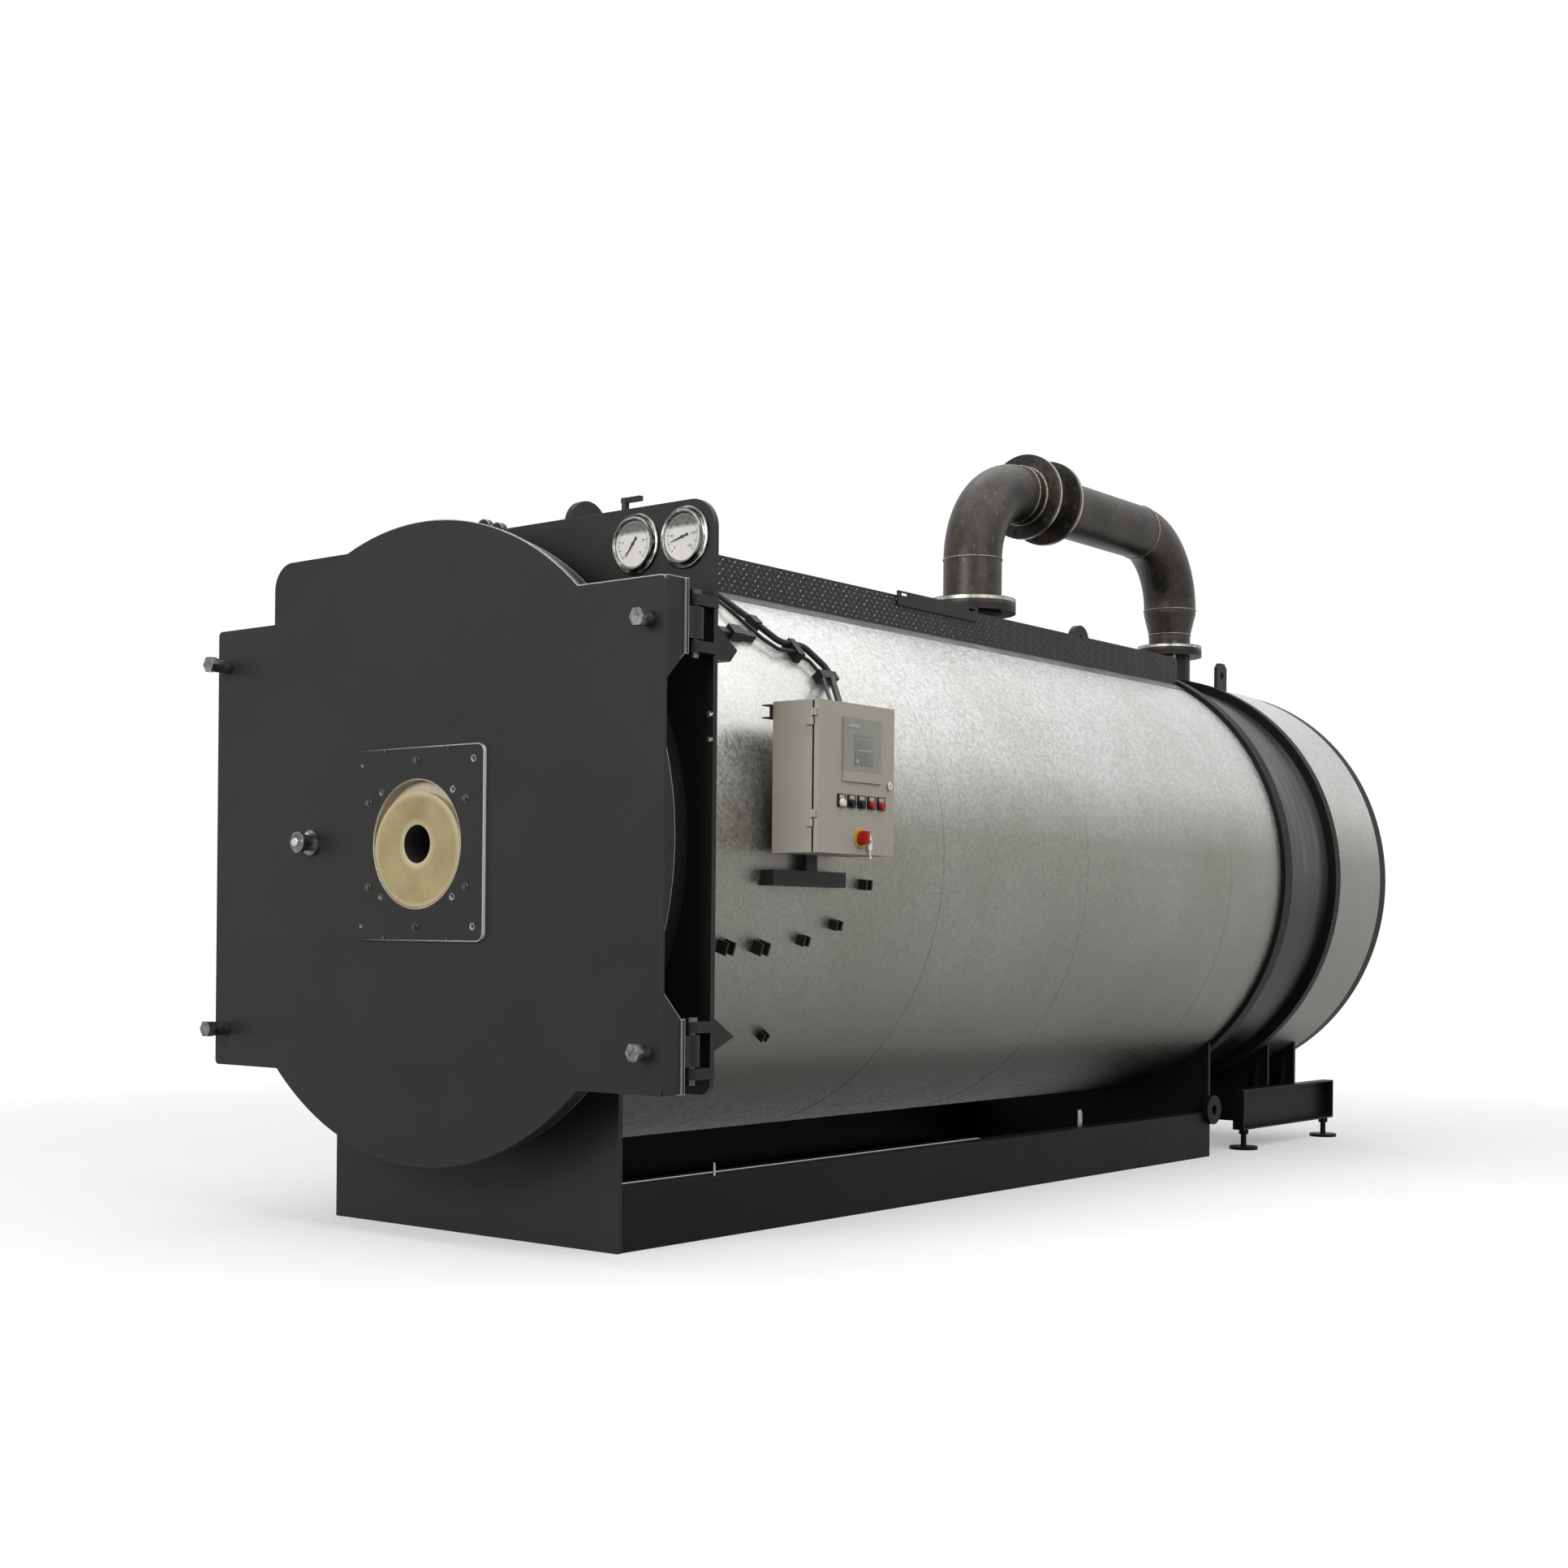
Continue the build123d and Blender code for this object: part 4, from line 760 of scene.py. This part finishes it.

# Refractory plug: its face sits low in the burner opening, with a recess above it and a bore lined
# in black
throat_r, front, sunk, back, around = 0.2182, -0.2655, -0.2330, -0.0920, 128
radii = {"bore": BORE_R, "lip": BORE_R + 0.003, "throat": throat_r, "skirt": throat_r + 0.0013}
bm = bmesh.new()
rings = []
for shape, y in (
    ("bore", back), ("bore", front + 0.002), ("lip", front), ("inset", front),
    ("face", front + 0.004), ("face", sunk), ("throat", sunk), ("throat", front),
    ("skirt", front), ("skirt", back),
):
    ring = []
    for i in range(around):
        a = 2 * math.pi * i / around
        x, z = math.cos(a), math.sin(a)
        if shape in radii:
            x, z = x * radii[shape], z * radii[shape]
        else:
            less = 0.004 if shape == "inset" else 0.0
            x, z = (PLUG_WIDE - less) * x, (PLUG_HIGH - less) * z - PLUG_DROP
            fit = min(1.0, (throat_r - 0.0008 - less) / math.hypot(x, z))
            x, z = x * fit, z * fit
        ring.append(bm.verts.new((x, y, AXIS_Z + z)))
    rings.append(ring)
for one, two in zip(rings, rings[1:] + rings[:1]):
    prism(bm, one, two)
plug_face = piece("burner_plug_face", bm, "plug_buff", "door_body", 40)
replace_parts(plug_face, "burner_plug")
# Black lining of the bore
edge_r, lining_r = BORE_R - 0.0002, BORE_R - 0.0010
bm = bmesh.new()
lathe(bm, Vector((0, front + 0.003, AXIS_Z)), Y, [
    (edge_r, 0.0), (lining_r, 0.0006), (lining_r, 0.1680), (edge_r, 0.1688),
], 64)
piece("burner_bore_lining", bm, "hole_dark", "door_body", 50)

# Bright cap of the sight glass, with its stub and screw on top
low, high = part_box("sight_glass")
cap = Vector(((low.x + high.x) / 2, low.y, (low.z + high.z) / 2))
bm = bmesh.new()
lathe(bm, cap, -Y, [
    (0.0155, -0.002), (0.0165, 0.001), (0.0165, 0.010), (0.0145, 0.013), (0.006, 0.014), (0, 0.014),
], 32)
lathe(bm, cap + Z * 0.012 + Y * 0.020, Z, [
    (0.0055, 0.0), (0.0055, 0.022), (0.004, 0.024), (0, 0.024),
], 20)
lathe(bm, cap + Z * 0.0285 + Y * 0.048, Z, [
    (0.010, -0.002), (0.010, 0.004), (0.008, 0.006), (0, 0.006),
], 24)
piece("sight_glass_cap", bm, "bright_metal", "door_body", 40)


# The two gauges: case with its bezel, dial, scale with numerals, and pointer
def on_dial(turn):
    outward = Vector((math.cos(turn), 0, math.sin(turn)))
    return outward, Vector((-math.sin(turn), 0, math.cos(turn)))


def scale_turn(mark):
    return math.radians(225 - 270 * mark / SCALE_MARKS)


SCALE_MARKS = 50
GAUGE_Y, GAUGE_Z = -0.010, 2.331
POINTER = [
    (-0.026, 0.0045), (-0.010, 0.0025), (0.0, 0.003), (0.052, 0.0008),
    (0.052, -0.0008), (0.0, -0.003), (-0.010, -0.0025), (-0.026, -0.0045),
]
for name, gauge_x, aim in (("left", 0.767, 232.0), ("right", 0.981, 195.0)):
    _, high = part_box("gauge_" + name)
    foot = Vector((gauge_x, GAUGE_Y, GAUGE_Z))
    centre = foot - Y * 0.0150
    stem = -high.y + GAUGE_Y
    bm = bmesh.new()
    lathe(bm, foot, -Y, [
        (0, stem), (0.014, stem), (0.014, 0.0), (0.101, 0.0), (0.101, 0.006), (0.0985, 0.009),
        (0.0945, 0.010), (0.0915, 0.0085), (0.089, 0.012), (0.0875, 0.021), (0.0845, 0.024),
        (0.0800, 0.0235), (0.0765, 0.0185), (0.0755, 0.0145), (0, 0.0145),
    ], 96)
    case = piece("gauge_case_" + name, bm, "gauge_chrome", "boiler_body", 28)
    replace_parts(case, "gauge_" + name)
    bm = bmesh.new()
    lathe(bm, centre, -Y, [(0, 0), (0.0752, 0.0), (0.0752, 0.0006), (0, 0.0008)], 72)
    piece("gauge_dial_" + name, bm, "dial_white", "boiler_body", 30)
    bm = bmesh.new()
    for k in range(SCALE_MARKS + 1):
        d, side = on_dial(scale_turn(k))
        long, wide = (0.011, 0.0012) if k % 5 == 0 else (0.006, 0.0006)
        mid = centre + d * (0.066 - long / 2) - Y * 0.0010
        bm.faces.new([bm.verts.new(p) for p in (
            mid + d * long / 2 + side * wide, mid - d * long / 2 + side * wide,
            mid - d * long / 2 - side * wide, mid + d * long / 2 - side * wide,
        )])
    d, side = on_dial(math.radians(aim))
    hub = centre - Y * 0.0040
    top, under = (
        [bm.verts.new(hub + d * p + side * q + Y * deep) for p, q in POINTER]
        for deep in (0.0, 0.001)
    )
    bm.faces.new(top)
    bm.faces.new(under[::-1])
    prism(bm, top, under)
    lathe(bm, centre, -Y, [(0.005, 0.0), (0.005, 0.005), (0.003, 0.006), (0, 0.006)], 20)
    for k in range(0, SCALE_MARKS + 1, 10):
        d, _ = on_dial(scale_turn(k))
        value = k // 5 if name == "left" else k * 3
        mesh = numeral(str(value), 0.0125, centre + d * 0.0455 - Y * 0.0010)
        bm.from_mesh(mesh)
        bpy.data.meshes.remove(mesh)
    piece("gauge_marks_" + name, bm, "ink", "boiler_body", 0)

# Display of the cabinet: screen, then the lines on it and a blank name strip above it
low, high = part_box("cabinet_display")
front_x = high.x
line_x = front_x + 0.0008
bm = bmesh.new()
slab(bm, (front_x, low.y + 0.059, high.z - 0.155),
     (front_x + 0.0012, low.y + 0.164, high.z - 0.052), 0.0005)
piece("display_screen", bm, "screen", "cabinet_door_body", 30)
bm = bmesh.new()
mid = low.y + 0.1115
for near_y, far_y, foot, head, proud in (
    (-0.036, 0.040, 0.108, 0.104, 0.0016), (-0.044, -0.030, 0.148, 0.136, 0.0016),
    (-0.047, -0.045, 0.128, 0.068, 0.0015), (0.044, 0.046, 0.128, 0.068, 0.0015),
    (-0.047, 0.046, 0.070, 0.068, 0.0015),
):
    slab(bm, (line_x, mid + near_y, high.z - foot),
         (front_x + proud, mid + far_y, high.z - head), 0.0003)
slab(bm, (front_x, low.y + 0.024, high.z - 0.032), (line_x, low.y + 0.086, high.z - 0.022), 0.0002)
piece("display_marks", bm, "label_grey", "cabinet_door_body", 30)

# Push buttons: black plates with a blank label above and a coloured cap below
low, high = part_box("cabinet_buttons")
first_y, button_pitch, label_half = 0.423, 0.055, 0.0135
caps = {colour: bmesh.new() for colour in ("white_plastic", "button_plastic", "red_plastic")}
plates = bmesh.new()
labels = bmesh.new()
plate_half = first_y - low.y
plate_x = low.x + 0.004
reach = high.x - plate_x
for i, colour in enumerate(
    ("white_plastic", "button_plastic", "button_plastic", "red_plastic", "red_plastic")
):
    y = first_y + button_pitch * i
    slab(plates, (low.x, y - plate_half, low.z), (plate_x, y + plate_half, high.z), 0.0008)
    slab(labels, (plate_x - 0.001, y - label_half, high.z - 0.0165),
         (plate_x + 0.001, y + label_half, high.z - 0.0035), 0.0003)
    lathe(caps[colour], Vector((plate_x, y, low.z + 0.0145)), X, [
        (0.0140, -0.001), (0.0140, 0.004), (0.0125, 0.005), (0.0125, reach - 0.003),
        (0.0108, reach - 0.0008), (0, reach - 0.0002),
    ], 32)
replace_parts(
    piece("button_plates", plates, "button_plastic", "cabinet_door_body", 30), "cabinet_buttons",
)
for colour, cap in caps.items():
    piece("button_caps_" + colour.split("_")[0], cap, colour, "cabinet_door_body", 35)
piece("button_labels", labels, "label_grey", "cabinet_door_body", 30)

# Key that hangs beside the main switch: ring, bow, blade with its bit, and the lock it hangs from
key = Vector((1.3005, 0.572, 1.392))
bm = bmesh.new()
torus(bm, key + Vector((0, 0, -0.020)), X, 0.011, 0.0013, 32, 6)
lathe(bm, key + Vector((0, 0, -0.040)), X, [
    (0, -0.001), (0.012, -0.001), (0.012, 0.001), (0, 0.001),
], 24)
for near_y, far_y, foot, head in ((-0.003, 0.003, 0.080, 0.050), (0.002, 0.007, 0.078, 0.070)):
    slab(bm, (key.x - 0.001, key.y + near_y, key.z - foot),
         (key.x + 0.001, key.y + far_y, key.z - head), 0.0003)
lathe(bm, Vector((1.290, 0.572, 1.382)), X, [
    (0.009, 0.0), (0.009, 0.010), (0.007, 0.0115), (0, 0.0115),
], 24)
piece("switch_key", bm, "bright_metal", "cabinet_door_body", 35)

# Face and slot of the cabinet's lock
low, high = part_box("cabinet_lock")
mid_y, mid_z = (low.y + high.y) / 2, (low.z + high.z) / 2
bm = bmesh.new()
lathe(bm, Vector((high.x, mid_y, mid_z)), X, [
    (0.0134, -0.0075), (0.0134, -0.001), (0.0118, 0.0004), (0, 0.0005),
], 40)
piece("lock_face", bm, "bright_metal", "cabinet_door_body", 35)
bm = bmesh.new()
slab(bm, (high.x, mid_y - 0.0015, mid_z - 0.006),
     (high.x + 0.0008, mid_y + 0.0015, mid_z + 0.006), 0.0003)
piece("lock_slot", bm, "ink", "cabinet_door_body", 0)

# Dark discs in the mouths of the smoke tubes: painted shade of the open tubes
low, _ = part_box("front_tube_plate")
tube_count, tube_ring = 32, 0.760
bm = bmesh.new()
for i in range(tube_count):
    a = 2 * math.pi * (i + 0.5) / tube_count
    mouth = Vector((tube_ring * math.cos(a), low.y, AXIS_Z + tube_ring * math.sin(a)))
    lathe(bm, mouth, -Y, [
        (0, 0.0005), (0.0290, 0.0007), (0.0310, 0.0030), (0.0318, 0.0080),
    ], 24)
piece("smoke_tube_mouth_shade", bm, "hole_dark", "boiler_body", 30)

# Switchgear on the plate inside the cabinet: rails, cable ducts, breakers and terminals
low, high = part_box("cabinet_inner_plate")
plate_x = high.x
gear_x = plate_x + 0.050
rails = bmesh.new()
gear = bmesh.new()
ducts = bmesh.new()
blue = bmesh.new()
for z, wide in ((1.700, 0.018), (1.560, 0.0125), (1.430, 0.008)):
    slab(rails, (plate_x, low.y + 0.045, z - 0.0175),
         (plate_x + 0.0075, high.y - 0.045, z + 0.0175), 0.001)
    slab(ducts, (plate_x, low.y + 0.02, z + 0.052),
         (plate_x + 0.040, high.y - 0.02, z + 0.078), 0.002)
    breaker = wide > 0.01
    tall = 0.042 if breaker else 0.024
    y = low.y + 0.055
    k = 0
    while y + wide < high.y - 0.06:
        target = gear if breaker or k % 5 else blue
        slab(target, (plate_x + 0.006, y, z - tall), (gear_x, y + wide * 0.94, z + tall), 0.0012)
        if breaker:
            slab(target, (gear_x, y + wide * 0.2, z - 0.012),
                 (plate_x + 0.058, y + wide * 0.75, z + 0.012), 0.0008)
        y += wide
        k += 1
piece("cabinet_rails", rails, "bright_metal", "boiler_body", 30)
piece("cabinet_gear", gear, "white_plastic", "boiler_body", 30)
piece("cabinet_ducts", ducts, "display_plastic", "boiler_body", 30)
piece("cabinet_terminals", blue, "blue_plastic", "boiler_body", 30)

# Floor: pale where it is seen, dim where it would light the part, and fading to white far off
FLOOR_HALF = 60
FADE_CENTRE, FADE_RADII = (0.0, 2.6, 0.0), (2.6, 6.5)
floor_mat, tree, bsdf, vec = start("studio_floor")
out = [n for n in tree.nodes if n.type == "OUTPUT_MATERIAL"][0]
seen = seen_rays(tree)
grain = ramp(tree, noise(tree, vec, 0.8, 3.0), patchy(grey(0.90), grey(0.94)))
tree.links.new(mix(tree, seen, (0.13, 0.13, 0.125), grain), bsdf.inputs["Base Color"])
bsdf.inputs["Roughness"].default_value = 0.9
bsdf.inputs["Specular IOR Level"].default_value = 0.1
glow = tree.nodes.new("ShaderNodeEmission")
glow.inputs["Color"].default_value = (1.0, 1.0, 1.0, 1.0)
glow.inputs["Strength"].default_value = 1.0
far = tree.nodes.new("ShaderNodeVectorMath")
far.operation = "DISTANCE"
far.inputs[1].default_value = FADE_CENTRE
tree.links.new(vec, far.inputs[0])
fade = span(tree, far.outputs["Value"], 0.35, 1.0, *FADE_RADII)
blend = tree.nodes.new("ShaderNodeMixShader")
tree.links.new(combine(tree, "MULTIPLY", fade, seen), blend.inputs["Fac"])
tree.links.new(bsdf.outputs["BSDF"], blend.inputs[1])
tree.links.new(glow.outputs["Emission"], blend.inputs[2])
tree.links.new(blend.outputs["Shader"], out.inputs["Surface"])
mesh = bpy.data.meshes.new("studio_floor")
corners = [(FLOOR_HALF * x, FLOOR_HALF * y, 0) for x, y in ((-1, -1), (1, -1), (1, 1), (-1, 1))]
mesh.from_pydata(corners, [], [(0, 1, 2, 3)])
mesh.materials.append(floor_mat)
floor = bpy.data.objects.new("studio_floor", mesh)
bpy.context.scene.collection.objects.link(floor)

# World: white where it is seen, soft and dim as a light
world = bpy.data.worlds.new("studio")
bpy.context.scene.world = world
world.use_nodes = True
tree = world.node_tree
tree.nodes.clear()
out = tree.nodes.new("ShaderNodeOutputWorld")
pick = tree.nodes.new("ShaderNodeMixShader")
tree.links.new(seen_rays(tree), pick.inputs["Fac"])
for socket, colour, strength in ((1, (0.95, 0.97, 1.0, 1.0), 0.30), (2, (1.0, 1.0, 1.0, 1.0), 1.0)):
    sky = tree.nodes.new("ShaderNodeBackground")
    sky.inputs["Color"].default_value = colour
    sky.inputs["Strength"].default_value = strength
    tree.links.new(sky.outputs["Background"], pick.inputs[socket])
tree.links.new(pick.outputs["Shader"], out.inputs["Surface"])


# Soft studio lamps
def lamp(name, pos, aim, width, height, watts):
    data = bpy.data.lights.new(name, "AREA")
    data.shape = "RECTANGLE"
    data.size = width
    data.size_y = height
    data.energy = watts
    obj = bpy.data.objects.new(name, data)
    bpy.context.scene.collection.objects.link(obj)
    obj.location = pos
    obj.rotation_euler = (Vector(aim) - Vector(pos)).to_track_quat("-Z", "Y").to_euler()


lamp("top_lamp", (1.6, 2.4, 7.0), (0.4, 2.4, 1.4), 9.0, 12.0, 560)
lamp("side_lamp", (7.5, 0.2, 4.8), (0.6, 2.0, 1.5), 5.0, 3.0, 100)
lamp("front_lamp", (0.4, -7.5, 3.8), (0.0, 0.0, 1.4), 5.0, 3.0, 490)

# Camera at the photo's place: level, with a small roll and its view shifted up
CAMERA_POS = (5.4627, -5.1084, 1.0637)
azimuth = math.radians(38.5454)
roll = math.radians(0.5308)
cam_data = bpy.data.cameras.new("camera")
cam_data.sensor_width = 36.0
cam_data.lens = 48.467
cam_data.shift_y = 0.09496
cam_data.clip_end = 300.0
cam = bpy.data.objects.new("camera", cam_data)
bpy.context.scene.collection.objects.link(cam)
forward = Vector((-math.sin(azimuth), math.cos(azimuth), 0))
right = Vector((math.cos(azimuth), math.sin(azimuth), 0))
cam_x = right * math.cos(roll) + Z * math.sin(roll)
cam_y = right * -math.sin(roll) + Z * math.cos(roll)
turn = Matrix((cam_x, cam_y, -forward)).transposed().to_4x4()
cam.matrix_world = Matrix.Translation(CAMERA_POS) @ turn
bpy.context.scene.camera = cam
bpy.context.scene.view_settings.view_transform = "Standard"
